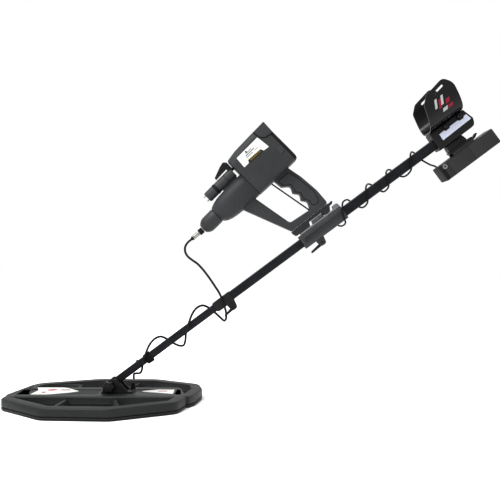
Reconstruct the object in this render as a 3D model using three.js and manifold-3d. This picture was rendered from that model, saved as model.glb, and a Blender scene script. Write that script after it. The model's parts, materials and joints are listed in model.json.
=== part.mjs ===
// Hand-held metal detector: open-frame search coil, telescopic shaft, pistol-shaped control unit on a
// D-handle, arm cuff and slide-on battery pack. Millimetres, +Z up, +X towards the user, +Y to the far side.
// The origin is the middle of the hand grip.
import * as THREE from 'three';
import { mergeVertices } from 'three/addons/utils/BufferGeometryUtils.js';
import Module from 'manifold-3d';

const wasm = await Module();
wasm.setup();

// ---------------------------------------------------------------- driving dimensions
const GAP = 0.3; // air between pieces that touch on the real thing
const SHAFT_TILT = THREE.MathUtils.degToRad(36.6); // shaft above the ground
const CONSOLE_TILT = THREE.MathUtils.degToRad(45); // control unit above the ground
const GRIP_ALONG = 595; // coil pivot to grip, measured along the shaft
const GRIP_ABOVE = 104; // grip above the shaft axis
const CONSOLE_NOSE = [-213.4, 0, -101.2]; // where the nose tip's axis starts, from the grip

const COIL_SOLE = -39.7; // underside of the coil below its pivot
const COIL_TOP = -15;
const SKID_THICKNESS = 2.2;
const COIL_SPLIT = -33.6; // height of the seam between lower shell and cover
const RIM_WIDTH = 24;
const RAIL_EDGE = 54; // outer edge of the two straight centre rails
const WEB_TOP = -16; // the web between the rails, which carries the labels
const RIB_TOP = -21;

const LOWER_TUBE = 16.4;
const MIDDLE_TUBE = 19.1;
const UPPER_TUBE = 22;
const LOWER_BORE = 13.4;
const MIDDLE_BORE = 17;
const UPPER_BORE = 19.7;
const TUBE_CORNER = 3;
const LOWER_START = 22;
const LOWER_END = 400;
const MIDDLE_START = 316;
const MIDDLE_END = 700;
const UPPER_START = 526;
const UPPER_END = 983;
const COLLAR_START = 285.5;
const COLLAR_END = 331;
const SLEEVE_START = 524;
const SLEEVE_END = 638;
const SLEEVE_TOP = 15.1;
const SLEEVE_BOTTOM = -15.4;
const SLEEVE_HALF = 15;

const HEAD_START = 147; // along the control unit's axis, from the nose tip
const HEAD_END = 252;
const HEAD_HALF = 42;
const HEAD_LOW = -33;
const HEAD_HIGH = 74;
const BODY_RADIUS = 31;
const WALL = 2.6;
const HANDLE_HALF = 15;

const BATTERY_START = 857;
const BATTERY_END = 999;
const BATTERY_TOP = -44;
const BATTERY_BOTTOM = -79.5;
const BATTERY_HALF = 28;

const COIL_CABLE = 4.8; // diameters of the two leads
const POWER_CORD = 3.2;

// ---------------------------------------------------------------- materials
const FINISHES = {
  abs: [0x3b3c3d, 0.62, 0],
  darkAbs: [0x232425, 0.6, 0],
  glossBlack: [0x121213, 0.22, 0],
  anodised: [0x26272b, 0.42, 0.7],
  rubber: [0x0e0e0f, 0.7, 0],
  greyMetal: [0x85878a, 0.4, 0.8],
  steel: [0xb4b6b8, 0.3, 1],
  copper: [0xa8602c, 0.35, 1],
  board: [0x1f5a34, 0.5, 0],
  glass: [0x1a2226, 0.08, 0],
  lcd: [0x8e9a84, 0.4, 0],
  nylon: [0x1b1b1c, 0.55, 0],
};

function mesh(name, geometry, finish) {
  const [color, roughness, metalness] = FINISHES[finish];
  const piece = new THREE.Mesh(geometry, new THREE.MeshStandardMaterial({ color, roughness, metalness }));
  piece.name = name;
  return piece;
}

// ---------------------------------------------------------------- solids
function toSolid(geometry) {
  const bare = geometry.clone();
  bare.deleteAttribute('normal');
  bare.deleteAttribute('uv');
  const merged = mergeVertices(bare, 1e-4);
  const vertProperties = new Float32Array(merged.attributes.position.array);
  const triVerts = new Uint32Array(merged.index.array);
  return new wasm.Manifold(new wasm.Mesh({ numProp: 3, vertProperties, triVerts }));
}

function toGeometry(solid) {
  const result = solid.getMesh();
  const geometry = new THREE.BufferGeometry();
  geometry.setAttribute('position', new THREE.BufferAttribute(new Float32Array(result.vertProperties), 3));
  geometry.setIndex(new THREE.BufferAttribute(new Uint32Array(result.triVerts), 1));
  return geometry;
}

function join(first, ...others) {
  return toGeometry(others.reduce((body, other) => body.add(toSolid(other)), toSolid(first)));
}

function cut(base, ...tools) {
  return toGeometry(tools.reduce((body, tool) => body.subtract(toSolid(tool)), toSolid(base)));
}

function common(first, second) {
  return toGeometry(toSolid(first).intersect(toSolid(second)));
}

// ---------------------------------------------------------------- outlines
// A closed outline through [x, y, cornerRadius] points, with each corner rounded off.
function rounded(points) {
  const shape = new THREE.Shape();
  const count = points.length;
  for (let i = 0; i < count; i += 1) {
    const [x, y, radius = 0] = points[i];
    const corner = new THREE.Vector2(x, y);
    const before = new THREE.Vector2(...points[(i + count - 1) % count].slice(0, 2)).sub(corner);
    const after = new THREE.Vector2(...points[(i + 1) % count].slice(0, 2)).sub(corner);
    const half = before.angleTo(after) / 2;
    const room = 0.48 * Math.min(before.length(), after.length());
    const reach = Math.min(radius / Math.tan(half), room);
    const start = before.normalize().multiplyScalar(reach).add(corner);
    const end = after.normalize().multiplyScalar(reach).add(corner);
    if (i === 0) shape.moveTo(start.x, start.y);
    else shape.lineTo(start.x, start.y);
    if (reach > 0) shape.quadraticCurveTo(corner.x, corner.y, end.x, end.y);
  }
  shape.closePath();
  return shape;
}

// The same outline moved inwards by a distance; the points run anticlockwise.
function inset(points, distance) {
  const count = points.length;
  const normalAfter = points.map(([x, y], i) => {
    const [nextX, nextY] = points[(i + 1) % count];
    return new THREE.Vector2(y - nextY, nextX - x).normalize();
  });
  return points.map(([x, y, radius = 0], i) => {
    const first = normalAfter[(i + count - 1) % count];
    const second = normalAfter[i];
    const shift = first.clone().add(second).multiplyScalar(distance / (1 + first.dot(second)));
    return [x + shift.x, y + shift.y, Math.max(radius - distance, Math.min(radius, 6))];
  });
}

function rectangle(x0, x1, y0, y1, radius = 0) {
  return rounded([[x0, y0, radius], [x1, y0, radius], [x1, y1, radius], [x0, y1, radius]]);
}

function square(size, radius) {
  return rectangle(-size / 2, size / 2, -size / 2, size / 2, radius);
}

function circle(x, y, radius) {
  const shape = new THREE.Shape();
  shape.absarc(x, y, radius, 0, 2 * Math.PI);
  return shape;
}

// ---------------------------------------------------------------- extrusions
// bevel chamfers both ends, grow widens the outline all round; the overall length stays as stated.
function extrude(shape, from, to, { bevel = 0, grow = 0, curve = 2 } = {}) {
  const thickness = bevel || (grow ? 0.05 : 0);
  const geometry = new THREE.ExtrudeGeometry(shape, {
    depth: to - from - 2 * thickness,
    bevelEnabled: thickness > 0,
    bevelThickness: thickness,
    bevelSize: bevel,
    bevelOffset: grow - bevel,
    bevelSegments: 1,
    curveSegments: curve,
    steps: 1,
  });
  return geometry.translate(0, 0, from + thickness);
}

// Profile in (x, z), run along Y.
function alongY(shape, from, to, options) {
  return extrude(shape, -to, -from, options).rotateX(Math.PI / 2);
}

// Section in (y, z), run along X.
function alongX(shape, from, to, options) {
  const turn = new THREE.Matrix4().set(0, 0, 1, 0, 1, 0, 0, 0, 0, 1, 0, 0, 0, 0, 0, 1);
  return extrude(shape, from, to, options).applyMatrix4(turn);
}

function box(x0, x1, y0, y1, z0, z1) {
  const geometry = new THREE.BoxGeometry(x1 - x0, y1 - y0, z1 - z0);
  return geometry.translate((x0 + x1) / 2, (y0 + y1) / 2, (z0 + z1) / 2);
}

function cylinderY(x, z, radius, from, to, sides = 14) {
  const geometry = new THREE.CylinderGeometry(radius, radius, to - from, sides);
  return geometry.translate(x, (from + to) / 2, z);
}

// A turned piece along X: [distance along the axis, radius] pairs that start and end on the axis.
function turned(profile, y, z, sides = 16) {
  const points = profile.map(([along, radius]) => new THREE.Vector2(radius, along));
  return new THREE.LatheGeometry(points, sides).rotateZ(-Math.PI / 2).translate(0, y, z);
}

// A square tube along X with its bore open at both ends.
function tube(outer, inner, from, to) {
  const section = square(outer, TUBE_CORNER);
  section.holes.push(square(inner, TUBE_CORNER - 1));
  return alongX(section, from, to);
}

// An eight-sided cord through hand-placed points.
function cable(points, diameter, steps) {
  const corners = points.map((point) => new THREE.Vector3(...point));
  return new THREE.ExtrudeGeometry(circle(0, 0, diameter / 2), {
    steps,
    extrudePath: new THREE.CatmullRomCurve3(corners, false, 'centripetal'),
    curveSegments: 4,
  });
}

// A closed skin through rings of equally many points, capped at both ends.
function loft(rings) {
  const sides = rings[0].length;
  const positions = rings.flat(2);
  const index = [];
  for (let ring = 0; ring < rings.length - 1; ring += 1) {
    for (let i = 0; i < sides; i += 1) {
      const a = ring * sides + i;
      const b = ring * sides + ((i + 1) % sides);
      index.push(a, b, a + sides, b, b + sides, a + sides);
    }
  }
  const last = (rings.length - 1) * sides;
  for (let i = 1; i < sides - 1; i += 1) {
    index.push(0, i + 1, i);
    index.push(last, last + i, last + i + 1);
  }
  const geometry = new THREE.BufferGeometry();
  geometry.setAttribute('position', new THREE.Float32BufferAttribute(positions, 3));
  geometry.setIndex(index);
  return geometry;
}

// ---------------------------------------------------------------- search coil (flat, frame at its pivot)
const NEAR_LOBE = [
  [-200, RAIL_EDGE, 20], [-221, -72, 26], [-158, -127, 30], [-111, -168, 30],
  [30, -178, 40], [157, -110, 30], [170, -58, 20], [150, RAIL_EDGE, 20],
];
const FAR_LOBE = [
  [-226, -RAIL_EDGE, 22], [182, -RAIL_EDGE, 30], [199, 40, 40], [188, 98, 34],
  [82, 164, 44], [-58, 168, 50], [-194, 108, 44],
];
const LOBES = [NEAR_LOBE, FAR_LOBE];
const WEB = [[-190, -40], [170, -40], [150, 40], [-176, 40]];
const RIBS = [[-84, -54, -96, -152], [18, -54, 48, -160], [-84, 54, -96, 150], [18, 54, 48, 158]];
const RIB_WIDTH = 7;

function ring(points, from, to, outerInset, innerInset, bevel = 0) {
  const shape = rounded(inset(points, outerInset));
  const outer = extrude(shape, from, to, { bevel });
  const inner = extrude(rounded(inset(points, innerInset)), from - 1, to + 1);
  return cut(outer, inner);
}

function rib([x0, y0, x1, y1], from, to) {
  const length = Math.hypot(x1 - x0, y1 - y0);
  const bar = box(0, length, -RIB_WIDTH / 2, RIB_WIDTH / 2, from, to);
  return bar.rotateZ(Math.atan2(y1 - y0, x1 - x0)).translate(x0, y0, 0);
}

function frame(from, to, bevel, webTo, ribTo) {
  const web = extrude(rounded(WEB), from, webTo);
  const lobes = LOBES.map((lobe) => ring(lobe, from, to, 0, RIM_WIDTH, bevel));
  return join(...lobes, web, ...RIBS.map((line) => rib(line, from, ribTo)));
}

function labelSlots(from, to) {
  return [
    extrude(rounded([[-200, -30], [-172, -30], [-186, 30], [-200, 30]]), from, to),
    extrude(rounded([[143, -30, 4], [157, -30, 4], [151, 28, 4], [143, 28, 4]]), from, to),
  ];
}

const LOWER_CHANNEL_FLOOR = COIL_SOLE + 4.2;
const COVER_CAVITY_TOP = COIL_TOP - 3;
const PAD_FLOOR = COIL_TOP - 11; // underside of the solid pad that carries the bracket

function coilLowerShell() {
  const top = COIL_SPLIT - GAP;
  const body = frame(COIL_SOLE + SKID_THICKNESS + GAP, top, 0, top, top);
  const channels = LOBES.map((lobe) => ring(lobe, LOWER_CHANNEL_FLOOR, COIL_SPLIT + 1, 7, 17));
  const webHollow = box(-166, 118, -29, 29, LOWER_CHANNEL_FLOOR, COIL_SPLIT + 1);
  return cut(body, ...channels, webHollow, ...labelSlots(COIL_SOLE, COIL_SPLIT + 1));
}

function coilCover() {
  const body = frame(COIL_SPLIT, COIL_TOP, 2, WEB_TOP, RIB_TOP);
  const hollows = LOBES.map((lobe) => ring(lobe, COIL_SPLIT - 1, COVER_CAVITY_TOP, 4, 20));
  const padUnderBracket = box(-24, 54, -44, 44, PAD_FLOOR, COIL_TOP);
  const passage = box(40, 52, 12, 30, COIL_SPLIT - 1, COIL_TOP - 4);
  const drilling = extrude(circle(48, 24, 3), COIL_SPLIT - 1, COIL_TOP + 1);
  const webHollow = box(-166, 118, -29, 29, COIL_SPLIT - 1, WEB_TOP - 3);
  const shell = cut(body, ...hollows, webHollow, ...labelSlots(COIL_SPLIT - 1, COIL_TOP + 1));
  return cut(join(shell, padUnderBracket), passage, drilling);
}

function skidPlate() {
  return join(...LOBES.map((lobe) => ring(lobe, COIL_SOLE, COIL_SOLE + SKID_THICKNESS, 0.8, RIM_WIDTH - 1)));
}

const WINDING_HEIGHT = 3.2;

function winding(lobe, from) {
  return ring(lobe, from, from + WINDING_HEIGHT, 9, 15);
}

// ---------------------------------------------------------------- coil bracket and pivot
const EAR_INNER = 12.5;
const EAR_OUTER = 17.5;
const PIVOT_RADIUS = 4;

function coilBracket() {
  const ear = rounded([[-16, -14.7], [44, -14.7, 3], [16, 15, 6], [4, 17, 6], [-12, 4, 5]]);
  const base = extrude(rectangle(-19, 50, -EAR_OUTER, 33, 5), COIL_TOP + GAP, COIL_TOP + 3.4, { bevel: 0.8 });
  const near = alongY(ear, -EAR_OUTER, -EAR_INNER, { bevel: 1 });
  const far = alongY(ear, EAR_INNER, EAR_OUTER, { bevel: 1 });
  const glandHole = extrude(circle(45, 25, 5.9), COIL_TOP - 1, COIL_TOP + 5, { curve: 8 });
  return cut(join(base, near, far), cylinderY(0, 0, PIVOT_RADIUS + GAP, -30, 30), glandHole);
}

function pivotBolt() {
  const shank = cylinderY(0, 0, PIVOT_RADIUS, -30, EAR_OUTER + 1);
  const head = cylinderY(0, 0, 8, EAR_OUTER + GAP, EAR_OUTER + 5, 6);
  return join(shank, head);
}

// Six-lobed hand knob on the near end of the bolt.
function pivotKnob() {
  const shape = new THREE.Shape();
  const steps = 24;
  for (let i = 0; i < steps; i += 1) {
    const angle = (2 * Math.PI * i) / steps;
    const radius = 11.6 + 1.3 * Math.cos(6 * angle);
    if (i === 0) shape.moveTo(radius, 0);
    else shape.lineTo(radius * Math.cos(angle), radius * Math.sin(angle));
  }
  shape.closePath();
  const grip = alongY(shape, -32, -EAR_OUTER - GAP, { bevel: 1.4 });
  return cut(grip, cylinderY(0, 0, PIVOT_RADIUS + GAP, -30.6, 0));
}

function frictionWasher(from) {
  return cut(cylinderY(0, 0, 9.5, from, from + 2.4), cylinderY(0, 0, PIVOT_RADIUS + GAP, from - 1, from + 4));
}

function coilGland() {
  const profile = [[0, 0], [0, 4], [3, 4], [3, 5.6], [8, 5.6], [16, 3.6], [16, 0]];
  const points = profile.map(([along, radius]) => new THREE.Vector2(radius, along));
  return new THREE.LatheGeometry(points, 14).rotateX(Math.PI / 2).translate(45, 25, COIL_TOP + GAP);
}

// ---------------------------------------------------------------- shaft pieces (x runs along the shaft)
const YOKE_HALF = 9.5;
const BUTTON_ALONG = 78;
const BUTTON_RADIUS = 3;

function shaftYoke() {
  const eye = cylinderY(0, 0, 9, -YOKE_HALF, YOKE_HALF, 24);
  const neck = box(0, LOWER_START - GAP, -YOKE_HALF + 1.3, YOKE_HALF - 1.3, -6, 6);
  const spigot = alongX(square(12.6, 2), LOWER_START - 2, 96);
  const pocket = extrude(circle(BUTTON_ALONG, 0, BUTTON_RADIUS + GAP), -2, 8, { curve: 7 });
  return cut(join(eye, neck, spigot), cylinderY(0, 0, PIVOT_RADIUS + GAP, -20, 20), pocket);
}

function lowerTube() {
  const body = tube(LOWER_TUBE, LOWER_BORE, LOWER_START, LOWER_END);
  return cut(body, extrude(circle(BUTTON_ALONG, 0, BUTTON_RADIUS + GAP), 2, 12, { curve: 7 }));
}

function snapButton() {
  const profile = [[2.4, 0], [2.4, BUTTON_RADIUS], [9.6, BUTTON_RADIUS], [11.4, 1.8], [11.8, 0]];
  const points = profile.map(([along, radius]) => new THREE.Vector2(radius, along));
  return new THREE.LatheGeometry(points, 14).rotateX(Math.PI / 2).translate(BUTTON_ALONG, 0, 0);
}

// Hook-and-loop strap round the lower tube, with its free tail underneath.
function cableStrap() {
  const section = rectangle(-10.6, 10.6, -10.6, 10.6, 4);
  section.holes.push(rectangle(-8.6, 8.6, -8.6, 8.6, 3.2));
  const loop = alongX(section, 96, 110);
  const tail = alongY(rounded([[96, -10], [110, -10], [110, -13.4, 1], [96, -12.4, 1]]), -6, 6);
  return join(loop, tail);
}

const LUG_INNER = 5.3;
const LUG_OUTER = 9.3;

// Two lugs that carry a cam lever's trunnions below a clamp.
function camLugs(pivotX, pivotZ, bottom) {
  const shape = rounded([
    [pivotX - 9, bottom], [pivotX - 7, pivotZ - 6.4, 5], [pivotX + 7, pivotZ - 6.4, 5], [pivotX + 11, bottom],
  ]);
  const sides = [[-LUG_OUTER, -LUG_INNER], [LUG_INNER, LUG_OUTER]];
  return sides.map(([from, to]) => alongY(shape, from, to, { bevel: 0.6 }));
}

function camLever(pivotX, pivotZ, tipX, tipZ) {
  const hub = cylinderY(pivotX, pivotZ, 5, -LUG_INNER + GAP, LUG_INNER - GAP);
  const trunnions = cylinderY(pivotX, pivotZ, 2, -LUG_OUTER, LUG_OUTER, 14);
  const arm = rounded([
    [pivotX, pivotZ - 5], [pivotX + 4, pivotZ - 1], [pivotX - 4, pivotZ + 1.5],
    [tipX + 2, tipZ + 2.6, 1.5], [tipX, tipZ - 1.6, 1.5],
  ].reverse());
  return join(hub, trunnions, alongY(arm, -LUG_INNER + GAP, LUG_INNER - GAP));
}

const COLLAR_PIVOT = [319, -22.4];
const COLLAR_TIP = [291, -28];
const SLEEVE_PIVOT = [560, -25];
const SLEEVE_TIP = [527, -30];

function lowerCollar() {
  const profile = rounded([
    [COLLAR_START, -9.5, 2], [COLLAR_START + 6, -11.8], [COLLAR_END, -11.8, 2],
    [COLLAR_END, 11, 2], [COLLAR_START, 11, 2],
  ]);
  const block = alongY(profile, -12.4, 12.4, { bevel: 1 });
  const lugs = camLugs(...COLLAR_PIVOT, -10);
  const lowerBore = alongX(square(LOWER_TUBE + 2 * GAP, TUBE_CORNER), COLLAR_START - 1, COLLAR_END + 1);
  const middleBore = alongX(square(MIDDLE_TUBE + 2 * GAP, TUBE_CORNER), MIDDLE_START - GAP, COLLAR_END + 1);
  const trunnionHole = cylinderY(...COLLAR_PIVOT, 2 + GAP, -12, 12, 14);
  const saw = box(COLLAR_START - 1, COLLAR_END - 8, -0.8, 0.8, -13, 0);
  return cut(join(block, ...lugs), lowerBore, middleBore, trunnionHole, saw);
}

const GROOVE_COUNT = 8; // grip ribs cut across the sleeve's underside
const GROOVE_PITCH = 6;

function shaftSleeve() {
  const section = rectangle(-SLEEVE_HALF, SLEEVE_HALF, SLEEVE_BOTTOM, SLEEVE_TOP, 4);
  section.holes.push(square(UPPER_TUBE + 2 * GAP, TUBE_CORNER));
  const body = alongX(section, SLEEVE_START, SLEEVE_END);
  const panel = rectangle(SLEEVE_START + 8, SLEEVE_END - 6, -5.5, 5, 4);
  const panels = [[-SLEEVE_HALF - 1, -SLEEVE_HALF + 1.6], [SLEEVE_HALF - 1.6, SLEEVE_HALF + 1]];
  const recesses = panels.map(([from, to]) => alongY(panel, from, to));
  const grooves = [];
  for (let i = 0; i < GROOVE_COUNT; i += 1) {
    const x = SLEEVE_END - 52 + i * GROOVE_PITCH;
    grooves.push(box(x, x + 2.4, -10, 10, SLEEVE_BOTTOM - 1, SLEEVE_BOTTOM + 1.2));
  }
  const trunnionHole = cylinderY(...SLEEVE_PIVOT, 2 + GAP, -12, 12, 14);
  return cut(join(body, ...camLugs(...SLEEVE_PIVOT, -14)), ...recesses, ...grooves, trunnionHole);
}

// Aluminium rail on top of the sleeve, with its front hook, centre block and rear stop.
function shaftRail() {
  const plate = box(532, 638, -13, 13, SLEEVE_TOP + GAP, 18.7);
  const hook = rounded([[533, 18], [543, 18], [543, 21, 1], [539, 23.4, 1], [533, 20, 1]]);
  const block = rounded([[567, 18], [597, 18], [597, 27, 1], [569, 27, 1]]);
  const stop = rounded([[622, 18], [638, 18], [638, 24, 2], [632, 26.4, 3], [624, 25, 2]]);
  const studs = [hook, block, stop].map((shape) => alongY(shape, -6.4, 6.4));
  const boltHeads = cylinderY(583, 22.6, 3.6, -7.6, 7.6, 12);
  return join(plate, ...studs, boltHeads);
}

// ---------------------------------------------------------------- arm cuff and battery mount
const CUFF_TOP = 26;
const CUFF_BOLTS = [924, 961];
const CUFF_BOLT_HEIGHT = 19.6;

function cuffBase() {
  const section = rectangle(-20, 20, -17.6, CUFF_TOP, 5);
  const side = rounded([
    [884, -17.6, 3], [978, -17.6, 12], [984, -2, 6], [976, CUFF_TOP, 3], [886, CUFF_TOP, 3],
  ]);
  const block = common(alongX(section, 880, 990), alongY(side, -20, 20, { bevel: 1.5 }));
  const bore = alongX(square(UPPER_TUBE + 2 * GAP, TUBE_CORNER), 870, 995);
  const holes = CUFF_BOLTS.map((x) => cylinderY(x, CUFF_BOLT_HEIGHT, 3.3, -30, 30, 12));
  return cut(block, bore, ...holes);
}

function cuffBolt(x) {
  const profile = [
    [-27.2, 0], [-26.6, 3.4], [-24.6, 5.6], [-22.4, 6], [-20 - GAP, 6], [-20 - GAP, 3], [19, 3], [19, 0],
  ];
  const points = profile.map(([along, radius]) => new THREE.Vector2(radius, along));
  return new THREE.LatheGeometry(points, 14).translate(x, 0, CUFF_BOLT_HEIGHT);
}

const CUFF_WALL = 3.2;
const CUFF_HALF = 54;

// The U-shaped trough's mid-line, from the centre out to the far wing's top edge.
function cuffSection(offset) {
  return [
    [0, CUFF_TOP + GAP + offset], [22, CUFF_TOP + GAP + offset], [40 - 0.6 * offset, 34 + 0.8 * offset],
    [50 - 0.9 * offset, 50 + 0.3 * offset], [CUFF_HALF - offset, 76], [CUFF_HALF + 3 - offset, 112],
  ];
}

function armCuff() {
  const outer = cuffSection(0);
  const inner = cuffSection(CUFF_WALL);
  const mirror = (points) => points.slice(1).map(([y, z]) => [-y, z]);
  const outline = [...mirror(outer).reverse(), ...outer, ...[...inner].reverse(), ...mirror(inner)];
  const trough = alongX(new THREE.Shape(outline.map(([y, z]) => new THREE.Vector2(y, z))), 872, 992);
  const side = rounded([
    [886, 20], [971, 20], [981, 88, 10], [967, 106, 10], [918, 96, 10], [902, 82, 10],
  ]);
  const wings = common(trough, alongY(side, -70, 70, { curve: 4 }));
  const slot = rounded([[932, 86.5, 2], [961, 91.5, 2], [961, 96, 2], [932, 91, 2]]);
  return cut(wings, alongY(slot, -70, 70));
}

function batteryPedestal() {
  const side = rounded([[902, -17.6 - GAP], [900, -33, 2], [948, -33, 2], [944, -17.6 - GAP]].reverse());
  const block = alongY(side, -13, 13, { bevel: 1 });
  const screw = new THREE.SphereGeometry(4.6, 12, 8).scale(1, 0.6, 1).translate(931, -13, -24);
  return join(block, screw);
}

const RAIL_HALF = 15;

function batteryRail() {
  const plate = rounded([[899, -33 - GAP], [958, -33 - GAP], [958, -37.4], [901, -38.4]].reverse());
  const fork = [[-RAIL_HALF, -7], [7, RAIL_HALF]].map(([from, to]) => box(936, 958, from, to, -42.6, -36));
  return cut(join(alongY(plate, -RAIL_HALF, RAIL_HALF), ...fork), cylinderY(950, -39.8, 1.8, -20, 20, 12));
}

function releaseLever() {
  const side = rounded([
    [940, -40.2], [950, -37.9], [962, -37.2], [972, -32.6, 1],
    [976, -34.6, 1], [966, -40.4, 3], [950, -42.4], [940, -42.2],
  ].reverse());
  return join(alongY(side, -6.6, 6.6), cylinderY(950, -39.8, 1.5, -13, 13, 12));
}

const BATTERY_WALL = 3;
const SOCKET_PLACE = [869, -51];
const BATTERY_SEAMS = [878, 934];

function batteryCase() {
  const section = rectangle(-BATTERY_HALF, BATTERY_HALF, BATTERY_BOTTOM, BATTERY_TOP, 3);
  const body = alongX(section, BATTERY_START + 8, BATTERY_END, { bevel: 1 });
  const inside = BATTERY_HALF - BATTERY_WALL;
  const floor = BATTERY_BOTTOM + BATTERY_WALL;
  const ceiling = BATTERY_TOP - BATTERY_WALL;
  const cavity = box(BATTERY_START, BATTERY_END - BATTERY_WALL, -inside, inside, floor, ceiling);
  const lipSides = [[-19, -RAIL_HALF - GAP], [RAIL_HALF + GAP, 19]];
  const lips = lipSides.map(([from, to]) => box(903, 957, from, to, BATTERY_TOP - 1, -38));
  const seams = BATTERY_SEAMS.map((x) => cut(
    box(x, x + 1, -40, 40, -90, -30),
    box(x - 1, x + 2, 0.7 - BATTERY_HALF, BATTERY_HALF - 0.7, BATTERY_BOTTOM + 0.7, BATTERY_TOP + 20),
  ));
  const socketHole = cylinderY(...SOCKET_PLACE, 3.6, -40, 0, 14);
  return cut(join(body, ...lips), cavity, ...seams, socketHole);
}

function batteryCap() {
  const section = rectangle(-BATTERY_HALF, BATTERY_HALF, BATTERY_BOTTOM, BATTERY_TOP, 3);
  const plate = alongX(section, BATTERY_START, BATTERY_START + 8 - GAP, { bevel: 1 });
  const plug = box(BATTERY_START + 6, BATTERY_START + 8.4, -22, 22, BATTERY_BOTTOM + 5, BATTERY_TOP - 5);
  return join(plate, plug);
}

function chargingSocket() {
  const collar = cylinderY(...SOCKET_PLACE, 5.4, -BATTERY_HALF - 1.2, -BATTERY_HALF - GAP, 18);
  const barrel = cylinderY(...SOCKET_PLACE, 3.2, -BATTERY_HALF - 1, -BATTERY_HALF + 7, 14);
  const hole = cylinderY(...SOCKET_PLACE, 1.9, -BATTERY_HALF - 2, -BATTERY_HALF + 5, 12);
  return cut(join(collar, barrel), hole);
}

// Four round cells in a two-by-two block, welded to nickel strips at both ends.
function batteryCells() {
  const cells = [];
  for (const y of [-9.6, 9.6]) {
    for (const x of [870, 932]) {
      cells.push(turned([[x, 0], [x, 9.2], [x + 61, 9.2], [x + 61, 0]], y, -62, 16));
    }
  }
  const strips = [868.6, 930.6].map((x) => box(x, x + 1.8, -15, 15, -66, -58));
  return join(...cells, ...strips, box(990, 994, -15, 15, -66, -58), box(880, 985, -1, 1, -63, -61));
}

// ---------------------------------------------------------------- control unit (x along its own axis)
const RING_CORNER_STEPS = 4;

// Rounded rectangle round the axis at x: half width in Y, low and high in Z, corner radius.
function sectionRing(x, half, low, high, radius, margin = 0) {
  const points = [];
  const corners = [[1, 1], [-1, 1], [-1, -1], [1, -1]];
  const reach = radius + margin;
  corners.forEach(([signY, signZ], corner) => {
    for (let i = 0; i < RING_CORNER_STEPS; i += 1) {
      const angle = (Math.PI / 2) * (corner + i / (RING_CORNER_STEPS - 1));
      const centreY = signY * (half - radius);
      const centreZ = signZ > 0 ? high - radius : low + radius;
      points.push([x, centreY + reach * Math.cos(angle), centreZ + reach * Math.sin(angle)]);
    }
  });
  return points;
}

// Sections of the casing: along the axis, half width, low, high, corner radius.
const CASING = [
  [48.3, 18, -14.5, 21.6, 17.6],
  [58, 24, -21.8, 26, 22],
  [78, 29.5, -27.6, 30, 26],
  [98, BODY_RADIUS, -30, BODY_RADIUS, 26],
  [HEAD_START - 0.5, BODY_RADIUS, -BODY_RADIUS, BODY_RADIUS, 26],
  [HEAD_START + 1.5, 37, -31.4, 70, 24],
  [HEAD_START + 26, 40, -32.4, 73.4, 20],
  [HEAD_END - 22, HEAD_HALF, HEAD_LOW, HEAD_HIGH, 16],
  [HEAD_END, HEAD_HALF, HEAD_LOW, HEAD_HIGH, 14],
];

function casingSkin(margin) {
  return loft(CASING.map(([x, half, low, high, radius]) => sectionRing(x, half, low, high, radius, margin)));
}

function consoleCasing() {
  const inner = CASING.map(([x, half, low, high, radius], i) => {
    const ends = { 0: x + WALL, 5: x + WALL, [CASING.length - 1]: x + 1 };
    return sectionRing(ends[i] ?? x, half, low, high, radius, -WALL);
  });
  const hollow = cut(casingSkin(0), loft(inner));
  const wireHole = turned([[40, 0], [40, 6], [56, 6], [56, 0]], 0, 3.5, 16);
  return cut(hollow, wireHole);
}

const SCREEN_WINDOW = [-34, 34, 16, 64]; // y from, y to, z from, z to

function screenLens() {
  const [y0, y1, z0, z1] = SCREEN_WINDOW;
  return alongX(rectangle(y0 + GAP, y1 - GAP, z0 + GAP, z1 - GAP, 4), HEAD_END + 3, HEAD_END + 5);
}

const KEY_RADIUS = 5;
const KEY_PLACES = [[-22, -4], [-7.5, -4], [7.5, -4], [22, -4]]; // [y, z] of the four key centres

function headBezel() {
  const outer = [
    sectionRing(HEAD_END + GAP, HEAD_HALF, HEAD_LOW, HEAD_HIGH, 14),
    sectionRing(HEAD_END + 5, HEAD_HALF, HEAD_LOW, HEAD_HIGH, 14),
    sectionRing(HEAD_END + 7, HEAD_HALF - 2.5, HEAD_LOW + 3, HEAD_HIGH - 2, 12),
  ];
  const [y0, y1, z0, z1] = SCREEN_WINDOW;
  const window = alongX(rectangle(y0, y1, z0, z1, 4), HEAD_END - 1, HEAD_END + 9);
  const keyHoles = KEY_PLACES.map(([y, z]) => (
    alongX(circle(y, z, KEY_RADIUS + GAP), HEAD_END - 1, HEAD_END + 9, { curve: 7 })
  ));
  return cut(loft(outer), window, ...keyHoles);
}

function key([y, z]) {
  const top = HEAD_END + 8.4;
  const flange = HEAD_END - 3.4;
  return turned([
    [flange, 0], [flange, 6.6], [flange + 1.6, 6.6], [flange + 1.6, KEY_RADIUS],
    [top - 1, KEY_RADIUS], [top, KEY_RADIUS - 1], [top, 0],
  ], y, z, 12);
}

function noseCone() {
  const outer = turned([
    [5, 0], [5, 9.5], [8, 12.5], [12, 15.2], [19, 18], [48, 18], [48, 0],
  ], 0, 3.5, 24);
  return cut(outer, turned([[0, 0], [0, 5.4], [52, 5.4], [52, 0]], 0, 3.5, 16));
}

// The lead's plug and its screw ring leave the nose a little flatter than the body's axis.
const PLUG_TURN = THREE.MathUtils.degToRad(-5);

function plugRing() {
  return turned([[-8, 0], [-8, 6], [-7, 6.8], [1.6, 6.8], [2.6, 6], [2.6, 0]], 0, 0, 18);
}

function coilPlug() {
  return turned([[-30, 0], [-30, 2.9], [-26, 4.4], [-8.3, 4.8], [-8.3, 0]], 0, 0, 18);
}

// Round accessory socket beside the body, held below the head's shoulder.
const BARREL_Z = 45.3;
const BARREL_RADIUS = 11.8;
const CLIP_PIVOT = [139, 66];
const CLIP_TRUNNION = 1.8;
const CLIP_HALF = 7;
const CLIP_LUG_OUTER = 9.4;

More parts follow.
